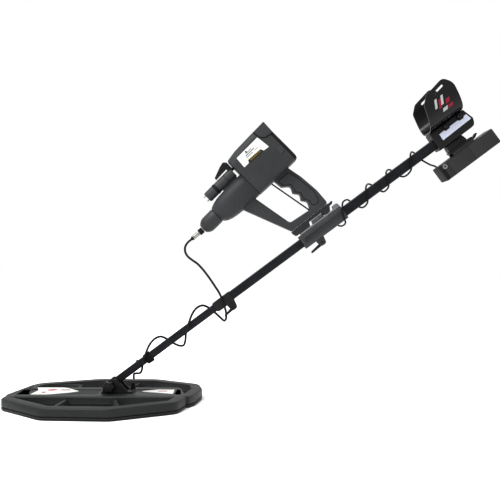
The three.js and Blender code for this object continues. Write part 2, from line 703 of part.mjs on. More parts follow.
function socketBarrel() {
  const body = turned([
    [60, 0], [60, 10.4], [64, BARREL_RADIUS], [84, BARREL_RADIUS], [84, 10.6], [91, 10.6],
    [91, BARREL_RADIUS], [140, BARREL_RADIUS], [140, 0],
  ], 0, BARREL_Z, 24);
  const saddle = box(96, 138, -5, 5, BODY_RADIUS + 0.6, BARREL_Z - 8);
  const pinProfile = [[54.5, 0], [55, 1.3], [66, 1.3], [66, 0]];
  const pins = [[-4, -5], [4, -5], [0, 6]].map(([y, z]) => turned(pinProfile, y, BARREL_Z + z, 10));
  const post = box(134, HEAD_START - 1, -4, 4, 48, 54);
  const lug = rounded([[133.5, 50], [144.5, 50], [143.5, 70, 3], [134.5, 70, 3]]);
  const lugs = [[-CLIP_LUG_OUTER, -CLIP_HALF - GAP], [CLIP_HALF + GAP, CLIP_LUG_OUTER]];
  const lugPlates = lugs.map(([from, to]) => alongY(lug, from, to));
  const trunnionHole = cylinderY(...CLIP_PIVOT, CLIP_TRUNNION + GAP, -12, 12, 12);
  return cut(join(body, saddle, post, ...pins, ...lugPlates), trunnionHole);
}

function socketRing() {
  const outer = turned([[84.3, 0], [84.3, 12.4], [90.7, 12.4], [90.7, 0]], 0, BARREL_Z, 24);
  const bore = turned([[80, 0], [80, 10.9], [95, 10.9], [95, 0]], 0, BARREL_Z, 24);
  const notches = [];
  for (let i = 0; i < 12; i += 1) {
    const angle = (2 * Math.PI * (i + 0.5)) / 12;
    const notch = box(83, 92, -0.7, 0.7, 12, 13.5).rotateX(angle);
    notches.push(notch.translate(0, 0, BARREL_Z));
  }
  return cut(outer, bore, ...notches);
}

// Spring clip that hooks over the barrel; it swings out on two trunnions between the barrel's lugs.
function clipLever() {
  const side = rounded([
    [144.5, 61, 2], [144.5, 70, 3], [139, 76.4, 5], [128, 74, 4], [102, 64.4, 1], [101, 59.6, 1], [120, 60.4],
  ]);
  const trunnions = cylinderY(...CLIP_PIVOT, CLIP_TRUNNION, -CLIP_LUG_OUTER, CLIP_LUG_OUTER, 12);
  return join(alongY(side, -CLIP_HALF, CLIP_HALF, { bevel: 0.5 }), trunnions);
}

// ---------------------------------------------------------------- handle (in the control unit's frame)
const HANDLE_OUTLINE = [
  [92, -12], [97, -29.5], [138.6, -138, 5], [237.8, -149.6, 7],
  [240.6, -112, 60], [237, -67, 60], [231, -36, 20], [229, -12],
];
const WINDOW_OUTLINE = [
  [128, -16], [133, -31], [149, -121.5, 8], [198.6, -131.5, 3], [203.6, -127, 2], [208.6, -116, 7],
  [200.6, -104.4, 1], [208.4, -93, 7], [199, -80.6, 1], [206.2, -66, 8], [191, -53.4, 1], [187.4, -16],
];
const PANEL_OUTLINE = [
  [194, -40, 3], [199, -56, 3], [211, -62, 6], [206, -82, 4], [213, -92, 6], [208.5, -105, 4],
  [214, -118, 6], [211, -129, 4], [226, -134, 8], [233.5, -110, 30], [229.5, -66, 30], [224, -42, 6],
];
const POCKETS = [
  [[205, -139, 3], [228, -141, 3], [229, -136, 3], [206, -134.6, 3]],
  [[218, -120, 4], [230, -112, 4], [226, -66, 4], [216, -66, 4]],
  [[108, -36, 3], [124, -38, 3], [141, -120, 3], [140, -126, 3]],
];

const PANEL_DEPTH = 1.2; // how far the grip panels sit into the handle's sides

function handleHalf(side) {
  const profile = rounded(HANDLE_OUTLINE);
  profile.holes.push(rounded(WINDOW_OUTLINE));
  const span = (from, to) => (side < 0 ? [-to, -from] : [from, to]);
  const body = alongY(profile, ...span(GAP / 2, HANDLE_HALF), { bevel: 0.7 });
  const recess = alongY(rounded(PANEL_OUTLINE), ...span(HANDLE_HALF - PANEL_DEPTH, 20), { grow: GAP });
  const pockets = POCKETS.map((points) => alongY(rounded(points), ...span(-1, HANDLE_HALF - 4)));
  return cut(body, casingSkin(GAP), recess, guardRodSolid(ROD_RADIUS + GAP, 6), ...pockets);
}

function gripPanel(side) {
  const inner = HANDLE_HALF - PANEL_DEPTH + GAP;
  const outer = HANDLE_HALF + 0.8;
  const span = side < 0 ? [-outer, -inner] : [inner, outer];
  return alongY(rounded(PANEL_OUTLINE), ...span, { bevel: 0.7 });
}

// Thin steel rod across the finger side of the window.
const ROD_TOP = new THREE.Vector3(181.6, 0, -33.2);
const ROD_FOOT = new THREE.Vector3(200.6, 0, -138.5);
const ROD_RADIUS = 1.6;

function guardRodSolid(radius, sides) {
  const length = ROD_TOP.distanceTo(ROD_FOOT);
  const rod = new THREE.CylinderGeometry(radius, radius, length, sides);
  const direction = ROD_TOP.clone().sub(ROD_FOOT).normalize();
  const turn = new THREE.Quaternion().setFromUnitVectors(new THREE.Vector3(0, 1, 0), direction);
  const middle = ROD_TOP.clone().add(ROD_FOOT).multiplyScalar(0.5);
  return rod.applyQuaternion(turn).translate(middle.x, middle.y, middle.z);
}

const LATCH_PIVOT = [610, 31.4];

// Foot under the handle: a plate with cheeks that straddle the rail (in the shaft's frame).
function handleFoot() {
  const plate = rounded([[519, 27.6, 2], [600, 28], [603, 31], [619, 31], [621, 36.2], [519, 33.1, 2]]);
  const frontCheek = rounded([[519, 28.5, 1], [523, 19.4, 3], [560, 19.4, 2], [563, 28.5, 1]]);
  const rearCheek = rounded([[598, 19.4, 3], [614, 19.4, 4], [619, 28, 3], [619, 34, 1], [598, 33, 1]]);
  const cheeks = [[-13, -8], [8, 13]].flatMap(([from, to]) => [
    alongY(frontCheek, from, to, { bevel: 0.5 }),
    alongY(rearCheek, from, to, { bevel: 0.5 }),
  ]);
  const room = rounded([[602.6, 20], [625, 20], [625, 40], [612, 40], [611, 34.2], [602.6, 34.2]]);
  const latchRoom = alongY(room, -7.9, 7.9);
  return cut(join(alongY(plate, -13, 13), ...cheeks), latchRoom, cylinderY(...LATCH_PIVOT, 1.9, -20, 20, 12));
}

function latchLever() {
  const side = rounded([
    [605, 28.4, 2], [613, 28.2], [628, 30.4], [632, 34.4, 1], [629, 36.4, 1], [616, 32.8], [606, 33.8, 2],
  ]);
  return join(alongY(side, -7.4, 7.4), cylinderY(...LATCH_PIVOT, 1.6, -12.4, 12.4, 12));
}

// ---------------------------------------------------------------- leads (in the shaft's frame)
const COIL_CABLE_FOOT = [
  [43.5, 25, -20.5], [46, 24, -16.5], [51, 20, -12], [58, 13, -13.5], [66, 3, -17],
  [76, -8, -14], [86, -12.6, -5], [95, -13.4, 3],
];
const COIL_CABLE_WOUND = [
  [95.6, -13.4, 3.6], [104, -13.6, 9], [114, -10, 16], [126, -4, 22], [139, 1, 24], [150, 7, 20.5],
  [157, 12, 9], [163, 12.4, -7], [172, 7, -21], [181, -1, -25], [191, -9, -19], [203, -12.2, -6],
  [220, -12.2, 7], [236, -7, 18], [252, -1, 23.5], [266, 7, 20], [274, 12.2, 6], [278, 12.8, -10],
  [281.5, 8, -26], [285, -1, -35.4], [293, -11, -32], [301, -15.6, -20], [306, -16, -6], [311, -15.6, 9.5],
];
const COIL_CABLE_LEAD = [
  [311.3, -15.5, 10.3], [313.4, -14, 22], [314.4, -12.5, 40], [315.2, -10.5, 60], [315, -8.5, 81],
  [312.6, -6.5, 100], [307.6, -4.5, 115], [304.8, -3, 127], [306.4, -1.4, 138], [313, -0.4, 146.6],
  [322, 0, 150.6], [333.5, 0, 151.5],
];
const POWER_CORD_ROUTE = [
  [608, 19.8, 25], [608, 21.6, 25], [609, 23, 20], [610, 20.4, 8], [611, 18.8, -5],
  [613, 15.6, -17.4], [617, 5, -22.6], [622, -8, -22.6], [626, -16.8, -19.4], [629, -17.8, -9],
  [634, -17.6, 3], [639.6, -17.4, 11],
  [648, -9, 18.4], [656, 0, 19], [663, 10.6, 15.8], [668, 14.2, 4], [673, 14, -9.4], [678, 8, -16.6],
  [685, -4, -17], [692, -12.4, -12.6], [698, -14, -2], [705, -12.8, 12], [713, -4, 17.4], [721, 9, 16.4],
  [727, 14.2, 7.5], [731, 14, -6], [736, 9.8, -15.8], [742, -3, -16.8], [749, -12.4, -12.6], [755, -14, -1],
  [760, -12.8, 11.6], [767, -3, 16.2], [776, 9.8, 15.2], [782, 14.4, 6], [787, 14, -9.4], [793, 6, -16.8],
  [803, -6, -16.6], [811, -12.8, -12], [818, -14, 0], [826, -12.8, 11.8], [834, -3, 16.6], [841, 9.8, 15.4],
  [845, 14.4, 6], [847, 13.6, -9], [850, 9, -19], [854, 4, -30], [859.6, 0.4, -39], [860.8, 0, -43.3],
];
const CORD_GLAND = [608, 25];

function cordGland() {
  const profile = [[13.3, 0], [13.3, 4], [16.4, 4], [19.4, 2.3], [19.4, 0]];
  const points = profile.map(([along, radius]) => new THREE.Vector2(radius, along));
  return new THREE.LatheGeometry(points, 12).translate(CORD_GLAND[0], 0, CORD_GLAND[1]);
}

// ---------------------------------------------------------------- assembly
function tiltedGroup(tilt, x, y, z) {
  const group = new THREE.Group();
  group.rotation.y = -tilt;
  group.position.set(x, y, z);
  return group;
}

const pivotX = -(GRIP_ALONG * Math.cos(SHAFT_TILT) - GRIP_ABOVE * Math.sin(SHAFT_TILT));
const pivotZ = -(GRIP_ALONG * Math.sin(SHAFT_TILT) + GRIP_ABOVE * Math.cos(SHAFT_TILT));

function buildCoil() {
  const coil = tiltedGroup(0, pivotX, 0, pivotZ);
  coil.add(
    mesh('coil_lower_shell', coilLowerShell(), 'abs'),
    mesh('coil_cover', coilCover(), 'abs'),
    mesh('coil_skid_plate', skidPlate(), 'darkAbs'),
    mesh('transmit_winding', winding(NEAR_LOBE, LOWER_CHANNEL_FLOOR + GAP), 'copper'),
    mesh('receive_winding', winding(FAR_LOBE, LOWER_CHANNEL_FLOOR + 2 * GAP + WINDING_HEIGHT), 'copper'),
    mesh('coil_bracket', coilBracket(), 'abs'),
    mesh('coil_gland', coilGland(), 'rubber'),
    mesh('coil_pivot_bolt', pivotBolt(), 'nylon'),
    mesh('pivot_knob', pivotKnob(), 'nylon'),
    mesh('friction_washer_near', frictionWasher(-12.2), 'rubber'),
    mesh('friction_washer_far', frictionWasher(9.8), 'rubber'),
  );
  return coil;
}

function buildShaft() {
  const shaft = tiltedGroup(SHAFT_TILT, pivotX, 0, pivotZ);
  shaft.add(
    mesh('shaft_yoke', shaftYoke(), 'nylon'),
    mesh('lower_shaft_tube', lowerTube(), 'anodised'),
    mesh('snap_button', snapButton(), 'steel'),
    mesh('cable_strap', cableStrap(), 'rubber'),
    mesh('lower_collar', lowerCollar(), 'abs'),
    mesh('middle_shaft_tube', tube(MIDDLE_TUBE, MIDDLE_BORE, MIDDLE_START, MIDDLE_END), 'anodised'),
    mesh('lower_cam_lever', camLever(...COLLAR_PIVOT, ...COLLAR_TIP), 'darkAbs'),
    mesh('shaft_sleeve', shaftSleeve(), 'abs'),
    mesh('sleeve_cam_lever', camLever(...SLEEVE_PIVOT, ...SLEEVE_TIP), 'darkAbs'),
    mesh('upper_shaft_tube', tube(UPPER_TUBE, UPPER_BORE, UPPER_START, UPPER_END), 'anodised'),
    mesh('shaft_rail', shaftRail(), 'greyMetal'),
    mesh('cuff_base', cuffBase(), 'darkAbs'),
    mesh('arm_cuff', armCuff(), 'glossBlack'),
    mesh('cuff_bolt_front', cuffBolt(CUFF_BOLTS[0]), 'nylon'),
    mesh('cuff_bolt_rear', cuffBolt(CUFF_BOLTS[1]), 'nylon'),
    mesh('battery_pedestal', batteryPedestal(), 'darkAbs'),
    mesh('battery_rail', batteryRail(), 'darkAbs'),
    mesh('battery_release_lever', releaseLever(), 'darkAbs'),
    mesh('battery_case', batteryCase(), 'abs'),
    mesh('battery_cap', batteryCap(), 'darkAbs'),
    mesh('charging_socket', chargingSocket(), 'greyMetal'),
    mesh('battery_cells', batteryCells(), 'steel'),
    mesh('handle_foot', handleFoot(), 'darkAbs'),
    mesh('latch_lever', latchLever(), 'darkAbs'),
    mesh('cord_gland', cordGland(), 'rubber'),
    mesh('coil_cable_foot', cable(COIL_CABLE_FOOT, COIL_CABLE, 10), 'rubber'),
    mesh('coil_cable_wound', cable(COIL_CABLE_WOUND, COIL_CABLE, 42), 'rubber'),
    mesh('coil_cable_lead', cable(COIL_CABLE_LEAD, COIL_CABLE, 16), 'rubber'),
    mesh('power_cord', cable(POWER_CORD_ROUTE, POWER_CORD, 78), 'rubber'),
  );
  return shaft;
}

function buildControlUnit() {
  const unit = tiltedGroup(CONSOLE_TILT, ...CONSOLE_NOSE);
  unit.add(
    mesh('console_casing', consoleCasing(), 'abs'),
    mesh('head_bezel', headBezel(), 'rubber'),
    mesh('screen_lens', screenLens(), 'glass'),
    mesh('lcd_panel', box(HEAD_END - 3, HEAD_END + 2.4, -32, 32, 18, 62), 'lcd'),
    mesh('main_board', box(84, HEAD_END - 8, -1, 1, -22, 24), 'board'),
    mesh('nose_cone', noseCone(), 'abs'),
    mesh('socket_barrel', socketBarrel(), 'abs'),
    mesh('socket_ring', socketRing(), 'darkAbs'),
    mesh('clip_lever', clipLever(), 'glossBlack'),
    mesh('handle_near_half', handleHalf(-1), 'abs'),
    mesh('handle_far_half', handleHalf(1), 'abs'),
    mesh('grip_panel_near', gripPanel(-1), 'rubber'),
    mesh('grip_panel_far', gripPanel(1), 'rubber'),
    mesh('guard_rod', guardRodSolid(ROD_RADIUS, 10), 'steel'),
  );
  KEY_PLACES.forEach((place, i) => unit.add(mesh(`key_${i + 1}`, key(place), 'rubber')));
  const plug = tiltedGroup(PLUG_TURN, 1, 0, 3.2);
  plug.add(mesh('plug_ring', plugRing(), 'darkAbs'), mesh('coil_plug', coilPlug(), 'steel'));
  unit.add(plug);
  return unit;
}

const detector = new THREE.Group();
detector.add(buildCoil(), buildShaft(), buildControlUnit());

export default detector;
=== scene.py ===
"""Fine surfaces and finishes of a hand-held metal detector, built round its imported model.

Each sub-assembly is drawn in its own axes, in millimetres, and placed by a frame taken from the packed
joints: the coil's frame stands at its pivot, the shaft's runs from that pivot along the tubes, and the
control unit's runs from its nose along its body. Y points to the far side in all of them.
"""

import json
import logging
import math
from dataclasses import dataclass
from enum import Enum

import bmesh
import bpy
from mathutils import Matrix, Vector


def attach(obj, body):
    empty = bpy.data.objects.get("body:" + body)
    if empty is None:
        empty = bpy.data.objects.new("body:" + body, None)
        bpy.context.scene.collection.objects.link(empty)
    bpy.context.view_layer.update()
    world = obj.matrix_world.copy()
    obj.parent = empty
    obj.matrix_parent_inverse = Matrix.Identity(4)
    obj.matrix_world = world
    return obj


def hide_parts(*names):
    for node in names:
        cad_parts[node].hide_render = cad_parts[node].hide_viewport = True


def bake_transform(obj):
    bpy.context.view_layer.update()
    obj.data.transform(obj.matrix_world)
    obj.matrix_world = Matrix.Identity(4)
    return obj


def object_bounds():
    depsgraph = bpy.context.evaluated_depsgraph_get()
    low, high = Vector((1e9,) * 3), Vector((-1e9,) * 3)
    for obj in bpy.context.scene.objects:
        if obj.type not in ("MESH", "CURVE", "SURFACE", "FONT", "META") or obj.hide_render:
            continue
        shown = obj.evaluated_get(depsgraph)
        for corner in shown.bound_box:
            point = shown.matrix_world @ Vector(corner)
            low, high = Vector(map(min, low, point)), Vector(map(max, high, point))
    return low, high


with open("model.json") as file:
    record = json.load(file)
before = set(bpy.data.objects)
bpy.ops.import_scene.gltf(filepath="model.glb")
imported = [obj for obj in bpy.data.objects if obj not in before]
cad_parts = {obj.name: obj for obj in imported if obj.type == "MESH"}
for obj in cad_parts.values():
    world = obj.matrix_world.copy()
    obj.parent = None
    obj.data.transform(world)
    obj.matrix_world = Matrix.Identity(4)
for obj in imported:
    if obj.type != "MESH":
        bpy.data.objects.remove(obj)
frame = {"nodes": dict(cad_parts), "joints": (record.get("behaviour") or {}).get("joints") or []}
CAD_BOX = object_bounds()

MM = 0.001
LOG = logging.getLogger("metal_detector")
Point = tuple[float, float]
Place = tuple[float, float, float]


class Side(Enum):
    """The two sides of the detector, as the sign of Y."""

    NEAR = -1
    FAR = 1

    def span(self, inner: float, outer: float) -> list[float]:
        """Gives the lower and the upper Y of a layer between two distances from the middle."""
        return sorted((inner * self.value, outer * self.value))


# ------------------------------------------------------------------ working frames
def working_frame(origin: Vector, along: Vector) -> Matrix:
    """Places a sub-assembly's own millimetre axes in the row frame.

    Args:
        origin: where the sub-assembly's origin is, in metres.
        along: the direction of its X axis, square to Y.

    Returns:
        The matrix from its millimetres to metres in the row frame.
    """
    x_axis = along.normalized()
    y_axis = Vector((0, 1, 0))
    turn = Matrix((x_axis, y_axis, x_axis.cross(y_axis))).transposed().to_4x4()
    return Matrix.Translation(origin) @ turn @ Matrix.Scale(MM, 4)


JOINTS = {joint["name"]: joint for joint in frame["joints"]}
PIVOT = Vector(JOINTS["coil_tilt"]["pos_m"])
SHAFT_WAY = Vector(JOINTS["rail_slide"]["axis"])
BODY_WAY = -Vector(JOINTS["socket_ring_turn"]["axis"])
RING_PLACE = Vector((87.5, 0, 45.3))  # the socket ring in the control unit's own millimetres
BODY_TURN = working_frame(Vector((0, 0, 0)), BODY_WAY)

COIL_FRAME = working_frame(PIVOT, Vector((1, 0, 0)))
SHAFT_FRAME = working_frame(PIVOT, SHAFT_WAY)
UNIT_FRAME = working_frame(Vector(JOINTS["socket_ring_turn"]["pos_m"]) - BODY_TURN @ RING_PLACE, BODY_WAY)
PLUG_RING = JOINTS["plug_ring_turn"]
PLUG_FRAME = working_frame(Vector(PLUG_RING["pos_m"]), Vector(PLUG_RING["axis"]))


# ------------------------------------------------------------------ shader helpers
def srgb(hex_colour: str) -> tuple[float, float, float, float]:
    """Turns an sRGB hex colour to linear.

    Args:
        hex_colour: six hex digits after a hash sign.

    Returns:
        Linear red, green, blue and a full alpha.
    """
    channels = [int(hex_colour[i : i + 2], 16) / 255 for i in (1, 3, 5)]
    linear = [c / 12.92 if c <= 0.04045 else ((c + 0.055) / 1.055) ** 2.4 for c in channels]
    return (*linear, 1.0)


def add_node(tree: bpy.types.NodeTree, kind: str, settings: dict | None = None,
             links: dict | None = None) -> bpy.types.Node:
    """Adds one shader node.

    Args:
        tree: the material's node tree.
        kind: the node's type.
        settings: values for its sockets, by name or number, or for its own properties.
        links: output sockets that feed its input sockets.

    Returns:
        The new node.
    """
    node = tree.nodes.new(kind)
    for name, value in (settings or {}).items():
        if isinstance(name, int) or name in node.inputs:
            node.inputs[name].default_value = value
        else:
            setattr(node, name, value)
    for name, source in (links or {}).items():
        tree.links.new(source, node.inputs[name])
    return node


def ramp(tree: bpy.types.NodeTree, source: bpy.types.NodeSocket, low: float,
         high: float) -> bpy.types.NodeSocket:
    """Stretches a value between two limits to the range 0 to 1.

    Args:
        tree: the material's node tree.
        source: the value to stretch.
        low: the value that becomes 0.
        high: the value that becomes 1.

    Returns:
        The stretched value's socket.
    """
    settings = {"From Min": low, "From Max": high}
    return add_node(tree, "ShaderNodeMapRange", settings, {"Value": source}).outputs["Result"]


# ------------------------------------------------------------------ finishes
@dataclass(frozen=True)
class Finish:
    """A moulded, cast or coated surface: fine grain, clouding, paler edges and a broken gloss; the paler
    edges are wear, and on the coil's rim a painted highlight.
    """

    name: str
    colour: str
    worn_and_highlight_tone: str  # the paler tone on edges: wear, and a painted highlight on the coil's rim
    roughness: float
    metallic: float = 0.0
    ior: float = 1.5
    grain_mm: float = 1.6
    grain_height_mm: float = 0.03
    clouding: float = 0.12
    # how strongly sharp edges are paled: wear, and on the coil a painted highlight
    edge_wear_and_highlight: float = 0.55
    coat: float = 0.0
    specular: float = 0.25  # a textured surface reflects less than a polished one
    stretch: tuple[float, float, float] = (1.0, 1.0, 1.0)

    def material(self) -> bpy.types.Material:
        """Makes the material, or finds it if it is already made."""
        found = bpy.data.materials.get(self.name)
        return found if found else self.build()

    def build(self) -> bpy.types.Material:
        """Builds the node tree.

        Returns:
            The new material.
        """
        material = bpy.data.materials.new(self.name)
        material.use_nodes = True
        tree = material.node_tree
        shader = tree.nodes["Principled BSDF"]
        shader.inputs["Metallic"].default_value = self.metallic
        shader.inputs["Coat Weight"].default_value = self.coat
        shader.inputs["Specular IOR Level"].default_value = self.specular
        if self.metallic < 1:
            shader.inputs["IOR"].default_value = self.ior
        place = add_node(tree, "ShaderNodeTexCoord").outputs["Object"]
        grain = self.pattern(tree, place)
        cloud_settings = {"Scale": 1 / (45 * MM), "Detail": 4.0, "Roughness": 0.6}
        cloud = add_node(tree, "ShaderNodeTexNoise", cloud_settings, {"Vector": place}).outputs["Fac"]
        self.colour_in(tree, shader, cloud, grain)
        self.gloss_in(tree, shader, cloud, grain)
        self.relief_in(tree, shader, grain)
        return material

    def pattern(self, tree: bpy.types.NodeTree, place: bpy.types.NodeSocket) -> bpy.types.NodeSocket:
        """Adds the surface's own fine pattern.

        Args:
            tree: the material's node tree.
            place: the object coordinates.

        Returns:
            A value from 0 to 1 over the surface.
        """
        mapped = add_node(tree, "ShaderNodeMapping", {"Scale": self.stretch}, {"Vector": place}).outputs[0]
        settings = {"Scale": 1 / (self.grain_mm * MM), "Detail": 3.0, "Roughness": 0.7}
        return add_node(tree, "ShaderNodeTexNoise", settings, {"Vector": mapped}).outputs["Fac"]

    def colour_in(self, tree: bpy.types.NodeTree, shader: bpy.types.Node, cloud: bpy.types.NodeSocket,
                  grain: bpy.types.NodeSocket) -> None:
        """Mixes the clouded base colour with the paler tone on sharp edges, which is wear and, on the coil's
        rim, a painted highlight.

        Args:
            tree: the material's node tree.
            shader: the surface shader.
            cloud: the broad variation.
            grain: the fine pattern.
        """
        base = srgb(self.colour)
        shades = [tuple(c * (1 + sign * self.clouding) for c in base[:3]) + (1.0,) for sign in (-1, 1)]
        clouded = add_node(tree, "ShaderNodeMix", {"data_type": "RGBA", 6: shades[0], 7: shades[1]},
                           {0: ramp(tree, cloud, 0.3, 0.7)})
        # Pale the convex edges: wear, and on the coil's rim a painted highlight.
        edge = add_node(tree, "ShaderNodeNewGeometry").outputs["Pointiness"]
        worn_and_highlit_edges = add_node(tree, "ShaderNodeMath", {"operation": "MULTIPLY"},
                        {0: ramp(tree, edge, 0.505, 0.56), 1: ramp(tree, grain, 0.35, 0.75)})
        share = add_node(tree, "ShaderNodeMath", {"operation": "MULTIPLY", 1: self.edge_wear_and_highlight},
                         {0: worn_and_highlit_edges.outputs[0]})
        mixed = add_node(tree, "ShaderNodeMix", {"data_type": "RGBA", 7: srgb(self.worn_and_highlight_tone)},
                         {0: share.outputs[0], 6: clouded.outputs[2]})
        tree.links.new(mixed.outputs[2], shader.inputs["Base Color"])

    def gloss_in(self, tree: bpy.types.NodeTree, shader: bpy.types.Node, cloud: bpy.types.NodeSocket,
                 grain: bpy.types.NodeSocket) -> None:
        """Breaks the gloss up with the broad variation and the fine pattern.

        Args:
            tree: the material's node tree.
            shader: the surface shader.
            cloud: the broad variation.
            grain: the fine pattern.
        """
        both = add_node(tree, "ShaderNodeMath", {"operation": "ADD"}, {0: cloud, 1: grain}).outputs[0]
        settings = {"From Min": 0.6, "From Max": 1.4, "To Min": self.roughness * 0.85,
                    "To Max": min(1.0, self.roughness * 1.15)}
        rough = add_node(tree, "ShaderNodeMapRange", settings, {"Value": both}).outputs["Result"]
        tree.links.new(rough, shader.inputs["Roughness"])

    def relief_in(self, tree: bpy.types.NodeTree, shader: bpy.types.Node,
                  grain: bpy.types.NodeSocket) -> None:
        """Raises the fine pattern as bump.

        Args:
            tree: the material's node tree.
            shader: the surface shader.
            grain: the fine pattern.
        """
        bump = add_node(tree, "ShaderNodeBump", {"Strength": 0.6, "Distance": self.grain_height_mm * MM},
                        {"Height": grain})
        tree.links.new(bump.outputs[0], shader.inputs["Normal"])


@dataclass(frozen=True)
class Banded(Finish):
    """A finish whose pattern is parallel bands: wound wire, woven tape or a knurl."""

    band_mm: float = 1.0
    direction: str = "X"

    def pattern(self, tree: bpy.types.NodeTree, place: bpy.types.NodeSocket) -> bpy.types.NodeSocket:
        """Adds bands a set distance apart.

        Args:
            tree: the material's node tree.
            place: the object coordinates.

        Returns:
            A value from 0 to 1 over the surface.
        """
        # A wave texture repeats every 2 pi / 20 of its scaled coordinate.
        settings = {"Scale": math.pi / 10 / (self.band_mm * MM), "Distortion": 1.2, "Detail": 2.0,
                    "Detail Scale": 3.0, "bands_direction": self.direction}
        return add_node(tree, "ShaderNodeTexWave", settings, {"Vector": place}).outputs["Fac"]


@dataclass(frozen=True)
class Celled(Finish):
    """A finish whose pattern is small cells: a board's pads and tracks or a display's segments."""

    def pattern(self, tree: bpy.types.NodeTree, place: bpy.types.NodeSocket) -> bpy.types.NodeSocket:
        """Adds square-edged cells.

        Args:
            tree: the material's node tree.
            place: the object coordinates.

        Returns:
            A value from 0 to 1 over the surface.
        """
        settings = {"distance": "CHEBYCHEV", "Scale": 1 / (self.grain_mm * MM)}
        return add_node(tree, "ShaderNodeTexVoronoi", settings, {"Vector": place}).outputs["Distance"]


# Spark-eroded ABS: an even, matt dark grey. The real 0.1 mm grain is drawn at 1.6 mm so that it shows.
MOULDED_ABS = Finish("moulded_abs_spark_textured", "#303133", "#5d5f61", 0.52)
# The coil's ABS is darker, with a paler line along the rim that is a painted highlight.
COIL_ABS = Finish("moulded_abs_coil_grey", "#16171a", "#3a3b38", 0.5, edge_wear_and_highlight=0.7, clouding=0.16)
# The same plastic in near black: clamps, mounts and levers.
BLACK_ABS = Finish("moulded_abs_black", "#121213", "#333436", 0.46, grain_mm=1.4)
# Battery case: coarser texture, slightly warm.
BATTERY_ABS = Finish("moulded_abs_battery_grey", "#262627", "#484849", 0.5, grain_mm=2.0)
# Polished polycarbonate: nearly black with clear highlights, only a trace of orange peel.
POLISHED_PC = Finish("polished_polycarbonate_black", "#060607", "#1a1b1c", 0.2, ior=1.58, grain_mm=7.0,
                     grain_height_mm=0.05, clouding=0.05, edge_wear_and_highlight=0.3, specular=0.3)
# Anodised extruded aluminium: satin black with faint draw lines along the tube, drawn 3 mm apart to show.
ANODISED = Finish("anodised_extruded_aluminium", "#1d1e21", "#3a3c41", 0.4, metallic=0.6, grain_mm=3.0,
                  grain_height_mm=0.012, clouding=0.06, edge_wear_and_highlight=0.3, stretch=(0.08, 1.0, 0.1))
# Moulded rubber: deep black, dull, a little bloom.
RUBBER = Finish("moulded_rubber", "#0b0b0c", "#1e1f20", 0.68, ior=1.52, grain_mm=1.2, clouding=0.2)
# Lead jacket: extruded soft vinyl, satin black.
VINYL = Finish("extruded_vinyl_jacket", "#050506", "#161617", 0.42, ior=1.53, grain_mm=2.4,
               grain_height_mm=0.02, edge_wear_and_highlight=0.1)
# Bead-blasted aluminium: mid grey, soft sheen.
BLASTED_ALUMINIUM = Finish("bead_blasted_aluminium", "#6f7174", "#94969a", 0.5, metallic=0.35, grain_mm=0.9)
# Nickel plate: bright, with faint turning marks.
NICKEL = Finish("nickel_plated_brass", "#8b8b86", "#b4b4ae", 0.26, metallic=1.0, grain_mm=1.0,
                grain_height_mm=0.006, clouding=0.06)
# Moulded nylon: black with a waxy sheen.
NYLON = Finish("moulded_nylon", "#0c0c0d", "#29292b", 0.4, ior=1.53, grain_mm=1.8)
# Enamelled copper wire, wound close; the 0.4 mm wire is drawn at 1.2 mm so that the turns show.
COPPER = Banded("enamelled_copper_wire", "#a05c2e", "#d08a50", 0.3, metallic=1.0, band_mm=1.2,
                grain_height_mm=0.2, direction="Z")
# Woven hook-and-loop tape: matt black with a rib every 1.5 mm.
TAPE = Banded("woven_nylon_tape", "#09090a", "#1b1b1d", 0.85, band_mm=1.5, grain_height_mm=0.25)
# Green solder mask over copper tracks.
CIRCUIT = Celled("solder_masked_board", "#1c5a36", "#3f8a58", 0.35, grain_mm=4.0, grain_height_mm=0.05)
# The unlit display behind its lens: grey-green with faint segments.
DISPLAY = Celled("liquid_crystal_cell", "#8f9a86", "#7d8874", 0.25, grain_mm=6.0, clouding=0.08)
# Printed vinyl label: clean satin white.
LABEL = Finish("printed_vinyl_label", "#cbcbc8", "#d4d4d2", 0.4, grain_mm=3.0, grain_height_mm=0.01,
               clouding=0.03)
# The same stock in pale blue-white, as on the arm-rest strip.
COOL_LABEL = Finish("printed_vinyl_label_cool", "#bfc3d2", "#c9cbd6", 0.4, grain_mm=3.0, clouding=0.04)
# Screen-printed inks on the labels.
GREY_INK = Finish("screen_ink_grey", "#515258", "#5e5f64", 0.5, clouding=0.2)
RED_INK = Finish("screen_ink_red", "#7d1226", "#8f2a3c", 0.45, clouding=0.1)
PALE_RED_INK = Finish("screen_ink_pale_red", "#a05f66", "#ab747a", 0.5, clouding=0.2)
WHITE_INK = Finish("screen_ink_white", "#9fa2a3", "#adafb0", 0.4, clouding=0.05)
# Brushed gold foil on the badge.
GOLD_FOIL = Finish("hot_stamped_gold_foil", "#6f5c26", "#97813f", 0.34, metallic=0.8, grain_mm=2.0,
                   stretch=(0.2, 1.0, 1.0))
# Shrink wrap round the cells.
CELL_WRAP = Finish("heat_shrunk_cell_wrap", "#3f6f9c", "#86a9c8", 0.28, ior=1.54, grain_mm=5.0)


@dataclass(frozen=True)
class LensGlass:
    """Clear window glass, slightly smoked, with a faint wipe haze."""

    name: str = "toughened_window_glass"

    def material(self) -> bpy.types.Material:
        """Builds the glass's node tree.

        Returns:
            The new material.
        """
        material = bpy.data.materials.new(self.name)
        material.use_nodes = True
        tree = material.node_tree
        shader = tree.nodes["Principled BSDF"]
        shader.inputs["Base Color"].default_value = srgb("#56606a")
        shader.inputs["IOR"].default_value = 1.52
        shader.inputs["Transmission Weight"].default_value = 0.85
        place = add_node(tree, "ShaderNodeTexCoord").outputs["Object"]
        haze_settings = {"Scale": 1 / (30 * MM), "Detail": 5.0}
        haze = add_node(tree, "ShaderNodeTexNoise", haze_settings, {"Vector": place})
        settings = {"From Min": 0.3, "From Max": 0.8, "To Min": 0.03, "To Max": 0.16}
        rough = add_node(tree, "ShaderNodeMapRange", settings, {"Value": haze.outputs["Fac"]})
        tree.links.new(rough.outputs["Result"], shader.inputs["Roughness"])
        return material


